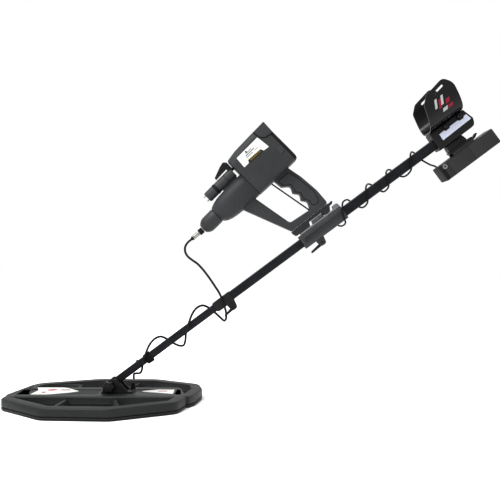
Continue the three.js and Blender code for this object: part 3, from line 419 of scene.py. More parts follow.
# ------------------------------------------------------------------ outlines
def rounded(points: list[tuple], steps: int = 6) -> list[Point]:
    """Rounds the corners of a closed outline.

    Args:
        points: (x, y) or (x, y, corner radius), in order round the outline.
        steps: how many points make each rounded corner.

    Returns:
        The outline's points.
    """
    outline = []
    for i, (x, y, *radius) in enumerate(points):
        corner = Vector((x, y))
        before = Vector(points[i - 1][:2]) - corner
        after = Vector(points[(i + 1) % len(points)][:2]) - corner
        if not radius or radius[0] <= 0:
            outline.append((x, y))
            continue
        half = before.angle(after) / 2
        reach = min(radius[0] / math.tan(half), 0.48 * min(before.length, after.length))
        start = corner + before.normalized() * reach
        end = corner + after.normalized() * reach
        for step in range(steps + 1):
            t = step / steps
            outline.append(tuple(start * (1 - t) ** 2 + corner * 2 * t * (1 - t) + end * t * t))
    return outline


def rectangle(x0: float, x1: float, y0: float, y1: float, radius: float = 0.0) -> list[Point]:
    """Outlines a rectangle with rounded corners."""
    return rounded([(x0, y0, radius), (x1, y0, radius), (x1, y1, radius), (x0, y1, radius)])


def inset(points: list[tuple], distance: float) -> list[tuple]:
    """Moves an anticlockwise outline inwards or outwards.

    Args:
        points: (x, y, corner radius) round the outline.
        distance: how far in, or out where it is negative.

    Returns:
        The moved points, with corner radii to suit.
    """
    count = len(points)
    normals = []
    for i, (x, y, _) in enumerate(points):
        next_x, next_y, _ = points[(i + 1) % count]
        normals.append(Vector((y - next_y, next_x - x)).normalized())
    moved = []
    for i, (x, y, radius) in enumerate(points):
        first, second = normals[i - 1], normals[i]
        shift = (first + second) * (distance / (1 + first.dot(second)))
        moved.append((x + shift.x, y + shift.y, max(radius - distance, min(radius, 6))))
    return moved


def disc(x: float, y: float, radius: float, sides: int = 40) -> list[Point]:
    """Outlines a circle."""
    turns = [2 * math.pi * i / sides for i in range(sides)]
    return [(x + radius * math.cos(turn), y + radius * math.sin(turn)) for turn in turns]


# ------------------------------------------------------------------ meshes
SIDEWAYS = Matrix.Rotation(math.pi / 2, 4, "X")  # a drawing in (x, z), with its thickness along Y
SMOOTH_BELOW = math.radians(32)  # surfaces that turn less than this shade as one


def finish_piece(piece: bpy.types.Object, finish: Finish | LensGlass, body: str,
                 stands_for: tuple[str, ...] = ()) -> bpy.types.Object:
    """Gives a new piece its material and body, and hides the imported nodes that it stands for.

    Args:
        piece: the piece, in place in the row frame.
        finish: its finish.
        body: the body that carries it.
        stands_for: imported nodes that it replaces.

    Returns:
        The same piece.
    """
    piece.data.materials.clear()
    piece.data.materials.append(finish.material())
    shade(piece.data)
    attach(piece, body)
    if stands_for:
        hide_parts(*stands_for)
    LOG.info("made %s on %s", piece.name, body)
    return piece


def shade(mesh: bpy.types.Mesh) -> None:
    """Shades a mesh smooth, but for its sharp edges."""
    mesh.shade_smooth()
    mesh.set_sharp_from_angle(angle=SMOOTH_BELOW)


def new_object(name: str, mesh: bpy.types.Mesh, placing: Matrix) -> bpy.types.Object:
    """Links a mesh into the scene with its place in its vertices.

    Args:
        name: the object's name.
        mesh: its mesh, in its own frame.
        placing: from that frame to the row frame.

    Returns:
        The new object.
    """
    mesh.transform(placing)
    if placing.determinant() < 0:
        mesh.flip_normals()
    piece = bpy.data.objects.new(name, mesh)
    bpy.context.scene.collection.objects.link(piece)
    return piece


def skin(name: str, rings: list[list[Place]], placing: Matrix, closed_way: bool = False) -> bpy.types.Object:
    """Stretches a skin over rings that have the same number of points.

    Args:
        name: the piece's name.
        rings: the rings, each a list of points.
        placing: from the rings' frame to the row frame.
        closed_way: joins the last ring to the first, in place of an end cap on each.

    Returns:
        The new piece.
    """
    sides = len(rings[0])
    faces = []
    count = len(rings)
    for ring in range(count if closed_way else count - 1):
        after = (ring + 1) % count
        for i in range(sides):
            j = (i + 1) % sides
            faces.append((ring * sides + i, ring * sides + j, after * sides + j, after * sides + i))
    if not closed_way:
        faces.append(tuple(reversed(range(sides))))
        faces.append(tuple((count - 1) * sides + i for i in range(sides)))
    mesh = bpy.data.meshes.new(name)
    mesh.from_pydata([point for ring in rings for point in ring], [], faces)
    tidy = bmesh.new()
    tidy.from_mesh(mesh)
    bmesh.ops.remove_doubles(tidy, verts=tidy.verts, dist=1e-4)
    bmesh.ops.recalc_face_normals(tidy, faces=tidy.faces)
    tidy.to_mesh(mesh)
    tidy.free()
    return new_object(name, mesh, placing)


def turned(name: str, profile: list[Point], placing: Matrix, sides: int = 48,
           hollow: bool = False) -> bpy.types.Object:
    """Turns a profile about the X axis.

    Args:
        name: the piece's name.
        profile: (distance along X, radius) pairs; ends with radius 0 close to a point.
        placing: from the piece's own frame to the row frame.
        sides: steps round the axis.
        hollow: joins the profile's end to its start, for a piece that is bored right through.

    Returns:
        The new piece.
    """
    turns = [2 * math.pi * i / sides for i in range(sides)]
    rings = [[(x, radius * math.cos(t), radius * math.sin(t)) for t in turns] for x, radius in profile]
    return skin(name, rings, placing, hollow)


def plate(name: str, outlines: list[list[Point]], low: float, high: float, bevel: float, placing: Matrix,
          bevel_steps: int = 2) -> bpy.types.Object:
    """Makes a flat piece with rounded edges; outlines inside the first are holes.

    Args:
        name: the piece's name.
        outlines: closed outlines in the drawing plane.
        low: the lower face's height above the plane.
        high: the upper face's height.
        bevel: the radius of its edges.
        placing: from the drawing's frame to the row frame.
        bevel_steps: how finely the edges are rounded.

    Returns:
        The new piece.
    """
    curve = bpy.data.curves.new(name, "CURVE")
    curve.dimensions = "2D"
    curve.fill_mode = "BOTH"
    curve.extrude = (high - low) / 2 - bevel
    curve.bevel_depth = bevel
    curve.bevel_resolution = bevel_steps
    curve.offset = -bevel
    for outline in outlines:
        spline = curve.splines.new("POLY")
        spline.points.add(len(outline) - 1)
        for point, (x, y) in zip(spline.points, outline):
            point.co = (x, y, 0, 1)
        spline.use_cyclic_u = True
    drawn = bpy.data.objects.new(name + "_drawing", curve)
    bpy.context.scene.collection.objects.link(drawn)
    evaluated = drawn.evaluated_get(bpy.context.evaluated_depsgraph_get())
    mesh = bpy.data.meshes.new_from_object(evaluated)
    mesh.name = name
    bpy.data.objects.remove(drawn)
    bpy.data.curves.remove(curve)
    weld = bmesh.new()
    weld.from_mesh(mesh)
    bmesh.ops.remove_doubles(weld, verts=weld.verts, dist=1e-3)
    weld.to_mesh(mesh)
    weld.free()
    return new_object(name, mesh, placing @ Matrix.Translation((0, 0, (low + high) / 2)))


def side_plate(name: str, outlines: list[list[Point]], y_from: float, y_to: float, bevel: float,
               placing: Matrix) -> bpy.types.Object:
    """Makes a plate drawn in (x, z) whose thickness runs along Y, as plate() does."""
    return plate(name, outlines, -y_to, -y_from, bevel, placing @ SIDEWAYS)


def cut_away(piece: bpy.types.Object, tool: bpy.types.Object, operation: str = "DIFFERENCE") -> None:
    """Cuts a piece with another by an exact boolean, and removes the tool.

    Args:
        piece: the piece that is cut.
        tool: the cutting piece.
        operation: DIFFERENCE or INTERSECT.
    """
    modifier = piece.modifiers.new("cut", "BOOLEAN")
    modifier.object = tool
    modifier.operation = operation
    modifier.solver = "EXACT"
    apply_modifiers(piece)
    bpy.data.objects.remove(tool)


def apply_modifiers(piece: bpy.types.Object) -> None:
    """Makes a piece's modifiers final.

    Args:
        piece: the piece, which keeps only the resulting mesh.
    """
    bpy.context.view_layer.update()
    evaluated = piece.evaluated_get(bpy.context.evaluated_depsgraph_get())
    mesh = bpy.data.meshes.new_from_object(evaluated)
    piece.modifiers.clear()
    piece.data = mesh


def soften(piece: bpy.types.Object, radius_mm: float, segments: int = 2, above_degrees: float = 34) -> None:
    """Rounds a piece's sharp edges.

    Args:
        piece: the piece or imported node.
        radius_mm: how far the rounding reaches from the edge.
        segments: how finely it is rounded.
        above_degrees: edges that turn more than this are rounded.
    """
    rounding = piece.modifiers.new("rounded_edges", "BEVEL")
    rounding.width = radius_mm * MM
    rounding.segments = segments
    rounding.limit_method = "ANGLE"
    rounding.angle_limit = math.radians(above_degrees)
    rounding.use_clamp_overlap = True
    rounding.harden_normals = False


def dress(node: str, finish: Finish | LensGlass, edge_mm: float = 0.0) -> bpy.types.Object:
    """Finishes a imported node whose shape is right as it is.

    Args:
        node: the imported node's name.
        finish: its finish.
        edge_mm: the radius of its edges, or 0 to leave them as they are.

    Returns:
        The node's object.
    """
    piece = frame["nodes"][node]
    piece.data.materials.clear()
    piece.data.materials.append(finish.material())
    custom = piece.data.attributes.get("custom_normal")
    if custom:
        piece.data.attributes.remove(custom)
    shade(piece.data)
    weld = piece.modifiers.new("weld", "WELD")
    weld.merge_threshold = 0.01 * MM
    if edge_mm:
        flat = piece.modifiers.new("flat_faces", "DECIMATE")
        flat.decimate_type = "DISSOLVE"
        flat.angle_limit = math.radians(1)
        soften(piece, edge_mm)
    LOG.info("dressed %s", node)
    return piece


# ------------------------------------------------------------------ leads
def smooth_route(points: list[Place], per_span: int) -> list[Vector]:
    """Draws a smooth line through given points, as a centripetal Catmull-Rom curve.

    Args:
        points: the route's points.
        per_span: steps between one point and the next.

    Returns:
        Closely spaced points along the line.
    """
    knots = [Vector(p) for p in points]
    knots = [knots[0] * 2 - knots[1], *knots, knots[-1] * 2 - knots[-2]]
    line = []
    for before, start, end, after in zip(knots, knots[1:], knots[2:], knots[3:]):
        times = [0.0]
        for first, second in ((before, start), (start, end), (end, after)):
            times.append(times[-1] + max((second - first).length, 1e-9) ** 0.5)
        for step in range(per_span):
            t = times[1] + (times[2] - times[1]) * step / per_span
            line.append(catmull_rom((before, start, end, after), times, t))
    line.append(knots[-2])
    return line


def between(first: Vector, second: Vector, start: float, end: float, t: float) -> Vector:
    """Finds the point between two others where the parameter is t."""
    return first + (second - first) * ((t - start) / (end - start))


def catmull_rom(points: tuple[Vector, ...], times: list[float], t: float) -> Vector:
    """Finds a point on one span of a centripetal Catmull-Rom curve.

    Args:
        points: the four points round the span.
        times: the curve's parameter at each of them.
        t: the parameter to find.

    Returns:
        The point.
    """
    spans = [between(points[i], points[i + 1], times[i], times[i + 1], t) for i in range(3)]
    pairs = [between(spans[i], spans[i + 1], times[i], times[i + 2], t) for i in range(2)]
    return between(pairs[0], pairs[1], times[1], times[2], t)


def cord_rings(line: list[Vector], radius: float, sides: int = 14) -> list[list[Place]]:
    """Sweeps a circle along a line without twisting it.

    Args:
        line: points along the line.
        radius: the cord's radius.
        sides: steps round the cord.

    Returns:
        One ring of points at each point of the line.
    """
    rings = []
    across = (line[1] - line[0]).orthogonal().normalized()
    for i, centre in enumerate(line):
        way = (line[min(i + 1, len(line) - 1)] - line[max(i - 1, 0)]).normalized()
        across = (across - way * across.dot(way)).normalized()
        up = way.cross(across)
        turns = [2 * math.pi * k / sides for k in range(sides)]
        rings.append([tuple(centre + (across * math.cos(a) + up * math.sin(a)) * radius) for a in turns])
    return rings


@dataclass
class LeadStretch:
    """One stretch of a lead, in the shaft's axes, in metres."""

    name: str
    route: list[Place]
    diameter: float
    bodies: tuple[str, ...]  # the body that carries it, or the two that it runs between
    stands_for: tuple[str, ...]

    def build(self) -> bpy.types.Object:
        """Makes the stretch and hangs it on its body; a stretch that runs between two bodies is left fixed in
        the row frame.

        Returns:
            The stretch.
        """
        line = smooth_route(self.route, 6)
        metres = SHAFT_FRAME @ Matrix.Scale(1 / MM, 4)
        piece = skin(self.name, cord_rings(line, self.diameter / 2), metres)
        piece.data.materials.append(VINYL.material())
        shade(piece.data)
        if len(self.bodies) == 2:
            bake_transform(piece)
        else:
            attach(piece, self.bodies[0])
        if self.stands_for:
            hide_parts(*self.stands_for)
        LOG.info("laid %s, %.3f m", self.name, sum((b - a).length for a, b in zip(line, line[1:])))
        return piece


@dataclass
class Leads:
    """The coil's lead and the battery's power cord, each in stretches along the bodies they lie on."""

    coil_diameter: float = 0.0048
    power_diameter: float = 0.0038

    def coil_lead(self) -> None:
        """Lays the coil's lead: from its gland, round the lower tube, and up to the nose."""
        foot = [
            (0.0435, 0.025, -0.0205), (0.046, 0.024, -0.0165), (0.051, 0.020, -0.012),
            (0.058, 0.013, -0.0135), (0.066, 0.003, -0.017), (0.076, -0.008, -0.014),
            (0.086, -0.0126, -0.005), (0.095, -0.0134, 0.003),
        ]
        wound = [
            (0.0956, -0.0134, 0.0036), (0.104, -0.0136, 0.009), (0.114, -0.010, 0.016),
            (0.126, -0.004, 0.022), (0.139, 0.001, 0.024), (0.150, 0.007, 0.0205), (0.157, 0.012, 0.009),
            (0.163, 0.0124, -0.007), (0.172, 0.007, -0.021), (0.181, -0.001, -0.025),
            (0.191, -0.009, -0.019), (0.203, -0.0122, -0.006), (0.220, -0.0122, 0.007),
            (0.236, -0.007, 0.018), (0.252, -0.001, 0.0235), (0.266, 0.007, 0.020), (0.274, 0.0122, 0.006),
            (0.278, 0.0128, -0.010), (0.2815, 0.008, -0.026), (0.285, -0.001, -0.0354),
            (0.293, -0.011, -0.032), (0.301, -0.0156, -0.020), (0.306, -0.016, -0.006),
            (0.311, -0.0156, 0.0095),
        ]
        lower_lead = [
            (0.3113, -0.0155, 0.0103), (0.3134, -0.014, 0.022), (0.3144, -0.0125, 0.040),
            (0.3152, -0.0105, 0.060), (0.315, -0.0085, 0.081),
        ]
        upper_lead = [
            (0.315, -0.0085, 0.081), (0.3126, -0.0065, 0.100), (0.3076, -0.0045, 0.115),
            (0.3048, -0.003, 0.127), (0.3064, -0.0014, 0.138), (0.313, -0.0004, 0.1466),
            (0.322, 0.0, 0.1506), (0.3335, 0.0, 0.1515),
        ]
        size = self.coil_diameter
        LeadStretch("coil_lead_foot", foot, size, ("coil", "lower_shaft"), ("coil_cable_foot",)).build()
        LeadStretch("coil_lead_wound", wound, size, ("lower_shaft", "middle_shaft"),
                    ("coil_cable_wound",)).build()
        LeadStretch("coil_lead_rising", lower_lead, size, ("middle_shaft", "main_shaft"),
                    ("coil_cable_lead",)).build()
        LeadStretch("coil_lead_to_nose", upper_lead, size, ("main_shaft", "control_unit"), ()).build()

    def power_cord(self) -> None:
        """Lays the power cord: from the handle's foot, round the sleeve and upper tube, to the battery."""
        head = [
            (0.608, 0.0198, 0.025), (0.608, 0.0216, 0.025), (0.609, 0.023, 0.020), (0.610, 0.0204, 0.008),
            (0.611, 0.0188, -0.005), (0.613, 0.0156, -0.0174), (0.617, 0.005, -0.0226),
        ]
        wound = [
            (0.617, 0.005, -0.0226), (0.622, -0.008, -0.0226), (0.626, -0.0168, -0.0194),
            (0.629, -0.0178, -0.009), (0.634, -0.0176, 0.003), (0.6396, -0.0174, 0.011),
            (0.648, -0.009, 0.0184), (0.656, 0.0, 0.019), (0.663, 0.0106, 0.0158), (0.668, 0.0142, 0.004),
            (0.673, 0.014, -0.0094), (0.678, 0.008, -0.0166), (0.685, -0.004, -0.017),
            (0.692, -0.0124, -0.0126), (0.698, -0.014, -0.002), (0.705, -0.0128, 0.012),
            (0.713, -0.004, 0.0174), (0.721, 0.009, 0.0164), (0.727, 0.0142, 0.0075),
            (0.731, 0.014, -0.006), (0.736, 0.0098, -0.0158), (0.742, -0.003, -0.0168),
            (0.749, -0.0124, -0.0126), (0.755, -0.014, -0.001), (0.760, -0.0128, 0.0116),
            (0.767, -0.003, 0.0162), (0.776, 0.0098, 0.0152), (0.782, 0.0144, 0.006),
            (0.787, 0.014, -0.0094), (0.793, 0.006, -0.0168), (0.803, -0.006, -0.0166),
            (0.811, -0.0128, -0.012), (0.818, -0.014, 0.0), (0.826, -0.0128, 0.0118),
            (0.834, -0.003, 0.0166), (0.841, 0.0098, 0.0154), (0.845, 0.0144, 0.006),
            (0.847, 0.0136, -0.009), (0.850, 0.009, -0.019),
        ]
        tail = [
            (0.850, 0.009, -0.019), (0.854, 0.004, -0.030), (0.8596, 0.0004, -0.039),
            (0.8608, 0.0, -0.0433),
        ]
        size = self.power_diameter
        LeadStretch("power_cord_head", head, size, ("control_unit", "main_shaft"), ()).build()
        LeadStretch("power_cord_wound", wound, size, ("main_shaft",), ("power_cord",)).build()
        LeadStretch("power_cord_tail", tail, size, ("main_shaft", "battery_pack"), ()).build()

    def build(self) -> None:
        """Lays both leads."""
        self.coil_lead()
        self.power_cord()


# ------------------------------------------------------------------ camera, light and floor
@dataclass
class Studio:
    """A level camera beside the detector, a pale floor and soft overhead lights. Lengths in metres."""

    distance: float = 1.627
    aim_along: float = -0.0078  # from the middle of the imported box
    aim_up: float = -0.0133
    lens_mm: float = 53.25
    floor_size: float = 24.0
    floor_drop: float = 0.0005
    gamma: float = 0.85  # deepens the dark plastics, and leaves white as it is

    def middle(self) -> Vector:
        """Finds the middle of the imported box."""
        return (CAD_BOX[0] + CAD_BOX[1]) / 2

    def camera(self) -> None:
        """Sets the camera level, looking along +Y."""
        data = bpy.data.cameras.new("camera")
        data.lens = self.lens_mm
        data.clip_end = 100
        camera = bpy.data.objects.new("camera", data)
        middle = self.middle()
        camera.location = (middle.x + self.aim_along, -self.distance, middle.z + self.aim_up)
        camera.rotation_euler = (math.pi / 2, 0, 0)
        bpy.context.scene.collection.objects.link(camera)
        bpy.context.scene.camera = camera

    def light(self, name: str, place: Place, size: float, watts: float) -> None:
        """Hangs one soft square light that faces the middle of the detector.

        Args:
            name: the light's name.
            place: where it hangs.
            size: the length of its side.
            watts: its power.
        """
        data = bpy.data.lights.new(name, "AREA")
        data.size = size
        data.energy = watts
        lamp = bpy.data.objects.new(name, data)
        lamp.location = place
        lamp.rotation_euler = (Vector(place) - self.middle()).to_track_quat("Z", "Y").to_euler()
        bpy.context.scene.collection.objects.link(lamp)

    def floor(self) -> None:
        """Lays the floor just under the coil."""
        half = self.floor_size / 2
        height = CAD_BOX[0].z - self.floor_drop
        corners = [(-half, -half, height), (half, -half, height), (half, half, height), (-half, half, height)]
        mesh = bpy.data.meshes.new("floor")
        mesh.from_pydata(corners, [], [(0, 1, 2, 3)])
        floor = new_object("floor", mesh, Matrix.Identity(4))
        material = bpy.data.materials.new("matt_white_paint")
        material.use_nodes = True
        shader = material.node_tree.nodes["Principled BSDF"]
        shader.inputs["Base Color"].default_value = srgb("#ffffff")
        shader.inputs["Roughness"].default_value = 0.9
        shader.inputs["Specular IOR Level"].default_value = 0.0
        floor.data.materials.append(material)

    def sky(self) -> None:
        """Fills the room with even white light."""
        world = bpy.data.worlds.new("white_room")
        world.use_nodes = True
        background = world.node_tree.nodes["Background"]
        background.inputs["Color"].default_value = (1.0, 1.0, 1.0, 1.0)
        background.inputs["Strength"].default_value = 1.0
        bpy.context.scene.world = world
        bpy.context.scene.view_settings.view_transform = "Standard"
        bpy.context.scene.view_settings.gamma = self.gamma

    def build(self) -> None:
        """Sets up the camera, the floor and the lights."""
        self.camera()
        self.floor()
        self.sky()
        self.light("key", place=(-1.5, -1.2, 2.4), size=1.6, watts=105)
        self.light("rim", place=(0.4, 1.6, 2.2), size=2.0, watts=25)


# ------------------------------------------------------------------ search coil
@dataclass
class SearchCoil:
    """The coil's housing, its labels, pivot and windings. Millimetres from the pivot."""

    web_top: float = -16.0
    rail_top: float = -15.0
    label_rise: float = 0.3
    ink_rise: float = 0.12
    knob_radius: float = 11.6
    knob_lobes: int = 6
    lobe_height: float = 1.3
    gland: Point = (45.0, 25.0)
    gland_ribs: int = 4
    rib_pitch: float = 1.6

    def housing(self) -> None:
        """Finishes the shells, the skid plate and the parts inside."""
        dress("coil_cover", COIL_ABS, 0.8)
        dress("coil_lower_shell", COIL_ABS, 0.5)
        dress("coil_skid_plate", BLACK_ABS, 0.4)
        dress("coil_bracket", BLACK_ABS, 0.5)
        dress("transmit_winding", COPPER)
        dress("receive_winding", COPPER)
        dress("friction_washer_near", RUBBER)
        dress("friction_washer_far", RUBBER)

    def labels(self) -> None:
        """Lays the two printed labels on the web, with generic marks."""
        left = rounded([(-169, -28.6, 2), (-133, -28.6, 6), (-90, -8, 12), (-71, 7, 3), (-106, 46, 8),
                        (-118, 51, 3), (-176, 51, 2), (-164, 19, 20)])
        right = rounded([(66, 7, 2), (101, 28, 8), (138, 25, 2), (139, -21, 2)])
        top = self.rail_top
        for name, outline in (("coil_label_left", left), ("coil_label_right", right)):
            piece = plate(name, [outline], self.web_top - 0.1, top + self.label_rise, 0.15, COIL_FRAME, 1)
            finish_piece(piece, LABEL, "coil")
        marks = [
            ("coil_mark_1", disc(-134, 22, 11), PALE_RED_INK),
            ("coil_mark_2", rectangle(-150, -142, -12, 0), RED_INK),
            ("coil_mark_3", rectangle(-116, -96, 24, 30), GREY_INK),
            ("coil_mark_4", rectangle(-116, -92, 12, 16), PALE_RED_INK),
            ("coil_mark_5", rectangle(104, 124, 2, 10), PALE_RED_INK),
        ]
        for name, outline, ink in marks:
            piece = plate(name, [outline], top, top + self.label_rise + self.ink_rise, 0.05, COIL_FRAME, 0)
            finish_piece(piece, ink, "coil")

    def pivot(self) -> None:
        """Turns the lobed knob, the bolt's hexagon head and the lead's gland."""
        lobes = []
        steps = 12 * self.knob_lobes
        for i in range(steps):
            turn = 2 * math.pi * i / steps
            radius = self.knob_radius + self.lobe_height * math.cos(self.knob_lobes * turn)
            lobes.append((radius * math.cos(turn), radius * math.sin(turn)))
        knob = side_plate("pivot_hand_knob", [lobes], -32, -17.8, 1.8, COIL_FRAME)
        finish_piece(knob, NYLON, "pivot_knob", ("pivot_knob",))
        across = COIL_FRAME @ Matrix.Rotation(math.pi / 2, 4, "Z")
        profile = [(-32.6, 0), (-32.6, 5), (-32.2, 5.6), (-31.6, 5.8), (-31.6, 0)]
        cap = turned("pivot_knob_cap", profile, across)
        finish_piece(cap, BLACK_ABS, "pivot_knob")
        dress("coil_pivot_bolt", NYLON, 0.5)
        profile = [(-14.7, 0), (-14.7, 4), (-11.7, 4), (-11.7, 5.6), (-11.2, 6), (-7.5, 6), (-7, 5.6),
                   (-6.4, 4.8)]
        for i in range(self.gland_ribs):
            along, narrowing = self.rib_pitch * i, 0.3 * i
            profile += [(-5.6 + along, 4.9 - narrowing), (-4.9 + along, 4.9 - narrowing),
                        (-4.7 + along, 4.3 - narrowing)]
        profile += [(1.3, 3.4), (1.3, 0)]
        stand = Matrix.Translation((*self.gland, 0)) @ Matrix.Rotation(-math.pi / 2, 4, "Y")
        relief = turned("coil_strain_relief", profile, COIL_FRAME @ stand, 32)
        finish_piece(relief, RUBBER, "coil", ("coil_gland",))

    def build(self) -> None:
        """Builds the search coil."""
        self.housing()
        self.labels()
        self.pivot()


# ------------------------------------------------------------------ shaft
@dataclass
class Shaft:
    """Tubes, clamps, sleeve and rail. Millimetres along the shaft and above its axis."""

    button_along: float = 78.0
    tube_corner: float = 3.0
    chamfer: float = 0.3

    def tubes(self) -> None:
        """Draws the three square tubes, each open at both ends."""
        sizes = [
            ("lower_shaft_tube", 16.4, 13.4, 22, 400, "lower_shaft"),
            ("middle_shaft_tube", 19.1, 17.0, 316, 700, "middle_shaft"),
            ("upper_shaft_tube", 22.0, 19.7, 526, 983, "main_shaft"),
        ]
        for node, outer, bore, start, end, body in sizes:
            rings = []
            for size, x in ((outer - 2 * self.chamfer, start), (outer, start + self.chamfer),
                            (outer, end - self.chamfer), (outer - 2 * self.chamfer, end),
                            (bore, end), (bore, start)):
                section = rectangle(-size / 2, size / 2, -size / 2, size / 2, self.tube_corner)
                rings.append([(x, y, z) for y, z in section])
            piece = skin(node.replace("shaft_tube", "tube"), rings, SHAFT_FRAME, closed_way=True)
            finish_piece(piece, ANODISED, body, (node,))

    def fittings(self) -> None:
        """Finishes the yoke, strap, collar, sleeve and levers."""
        dress("shaft_yoke", NYLON, 0.6)
        dress("cable_strap", TAPE, 0.5)
        dress("lower_collar", BLACK_ABS, 0.7)
        dress("lower_cam_lever", BLACK_ABS, 0.8)
        dress("shaft_sleeve", MOULDED_ABS, 0.7)
        dress("sleeve_cam_lever", BLACK_ABS, 0.8)
        dress("shaft_rail", BLASTED_ALUMINIUM, 0.5)
        stand = Matrix.Translation((self.button_along, 0, 0)) @ Matrix.Rotation(-math.pi / 2, 4, "Y")
        profile = [(2.4, 0), (2.4, 3), (9.4, 3), (10.4, 2.8), (11.2, 2.1), (11.6, 1.1), (11.8, 0)]
        dome = turned("snap_button_dome", profile, SHAFT_FRAME @ stand)
        finish_piece(dome, NICKEL, "snap_button", ("snap_button",))

    def build(self) -> None:
        """Builds the shaft."""
        self.tubes()
        self.fittings()


# ------------------------------------------------------------------ arm rest and battery
@dataclass
class ArmRest:
    """The cuff, its base and bolts. Millimetres in the shaft's axes."""

    floor: float = 26.3
    wall: float = 3.2
    bolt_height: float = 19.6
    bolts: tuple[float, float] = (924.0, 961.0)

    def section(self, offset: float) -> list[Point]:
        """Draws one side of the trough's section, from its middle out to the wing's edge.

        Args:
            offset: distance inside the outer face.

        Returns:
            (y, z) points.
        """
        knots = [
            (0, self.floor + offset), (12, self.floor + offset), (24, self.floor + 0.6 + offset),
            (38 - 0.6 * offset, 33 + 0.8 * offset), (48.5 - 0.9 * offset, 48 + 0.3 * offset),
            (53.4 - offset, 68), (55.4 - offset, 90), (56.8 - offset, 112),
        ]
        line = smooth_route([(y, z, 0) for y, z in knots], 4)
        return [(point.x, point.y) for point in line]

    def mirrored(self, points: list[Point]) -> list[Point]:
        """Draws the section's other side, without its middle point."""
        return [(-y, z) for y, z in points[1:]]

    def cuff(self) -> None:
        """Forms the polished U-shaped cuff with its strap slots."""
        outer, inner = self.section(0), self.section(self.wall)
        outline = [*reversed(self.mirrored(outer)), *outer, *reversed(inner), *self.mirrored(inner)]
        rings = [[(x, y, z) for y, z in outline] for x in (872, 992)]
        cuff = skin("arm_cuff_shell", rings, SHAFT_FRAME)
        corners = [(886, 20), (974, 20), (983, 86, 30), (968, 106, 14), (920, 97, 14), (903, 82, 14)]
        side = rounded(corners, 12)
        cut_away(cuff, side_plate("cuff_side", [side], -70, 70, 0, SHAFT_FRAME), "INTERSECT")
        slot = rounded([(932, 86.5, 2), (961, 91.5, 2), (961, 96, 2), (932, 91, 2)])
        cut_away(cuff, side_plate("cuff_slot", [slot], -80, 80, 0, SHAFT_FRAME))
        soften(cuff, 1.1, 3, 50)
        finish_piece(cuff, POLISHED_PC, "main_shaft", ("arm_cuff",))

    def wing_face(self, height: float) -> float:
        """Finds how far the wing's outer face stands from the middle.

        Args:
            height: the height above the shaft's axis.

        Returns:
            The distance from the middle at that height.
        """
        section = self.section(0)
        for (y0, z0), (y1, z1) in zip(section, section[1:]):
            if z0 <= height <= z1 and z1 > z0:
                return y0 + (y1 - y0) * (height - z0) / (z1 - z0)
        return section[-1][0]

    def emblem(self) -> None:
        """Prints an abstract emblem of slanted bars on each wing, following its curve."""
        bars = [
            (918, 6, 60, 78, WHITE_INK), (926, 6, 56, 74, RED_INK), (934, 6, 60, 78, WHITE_INK),
            (930, 12, 46, 53, WHITE_INK), (944, 12, 46, 53, RED_INK), (944, 10, 57, 66, RED_INK),
        ]
        slant = 0.5
        steps = 8
        for side in Side:
            for i, (start, width, low, high, ink) in enumerate(bars):
                rings = []
                for step in range(steps + 1):
                    z = low + (high - low) * step / steps
                    x = start + (z - low) * slant
                    face = self.wing_face(z)
                    inner, outer = (face - 0.6) * side.value, (face + 0.2) * side.value
                    rings.append([(x, inner, z), (x + width, inner, z), (x + width, outer, z), (x, outer, z)])
                piece = skin(f"cuff_emblem_{side.name.lower()}_{i + 1}", rings, SHAFT_FRAME)
                finish_piece(piece, ink, "main_shaft")

    def bolt(self, name: str, along: float, node: str) -> None:
        """Turns one domed cap bolt that passes through the base.

        Args:
            name: the piece's name.
            along: where it is along the shaft.
            node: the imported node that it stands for.
        """
        profile = [(19, 0), (19, 3), (-20.3, 3), (-20.3, 6.1), (-22.6, 6.1), (-24.4, 5.7), (-25.8, 4.7),
                   (-26.8, 3), (-27.2, 1.6), (-26.2, 1.4), (-26.2, 0)]
        across = Matrix.Translation((along, 0, self.bolt_height)) @ Matrix.Rotation(math.pi / 2, 4, "Z")
        finish_piece(turned(name, profile, SHAFT_FRAME @ across), NYLON, "main_shaft", (node,))

    def base(self) -> None:
        """Finishes the base and lays its printed strip on both sides."""
        dress("cuff_base", BLACK_ABS, 0.9)
        outline = [(902, -3, 1), (979, -1, 1), (976, 13, 1)]
        for along in reversed(self.bolts):
            outline += [(along + 8.4, 13, 1), (along + 5, 9.8, 3), (along - 5, 9.8, 3), (along - 8.4, 13, 1)]
        strip = rounded([*outline, (903, 12.4, 1)])
        for side in Side:
            low, high = side.span(19.9, 20.35)
            label = side_plate(f"base_strip_{side.name.lower()}", [strip], low, high, 0.1, SHAFT_FRAME)
            finish_piece(label, COOL_LABEL, "main_shaft")

    def build(self) -> None:
        """Builds the arm rest."""
        self.cuff()
        self.emblem()
        self.base()
        self.bolt("cuff_bolt_front_dome", self.bolts[0], "cuff_bolt_front")
        self.bolt("cuff_bolt_rear_dome", self.bolts[1], "cuff_bolt_rear")


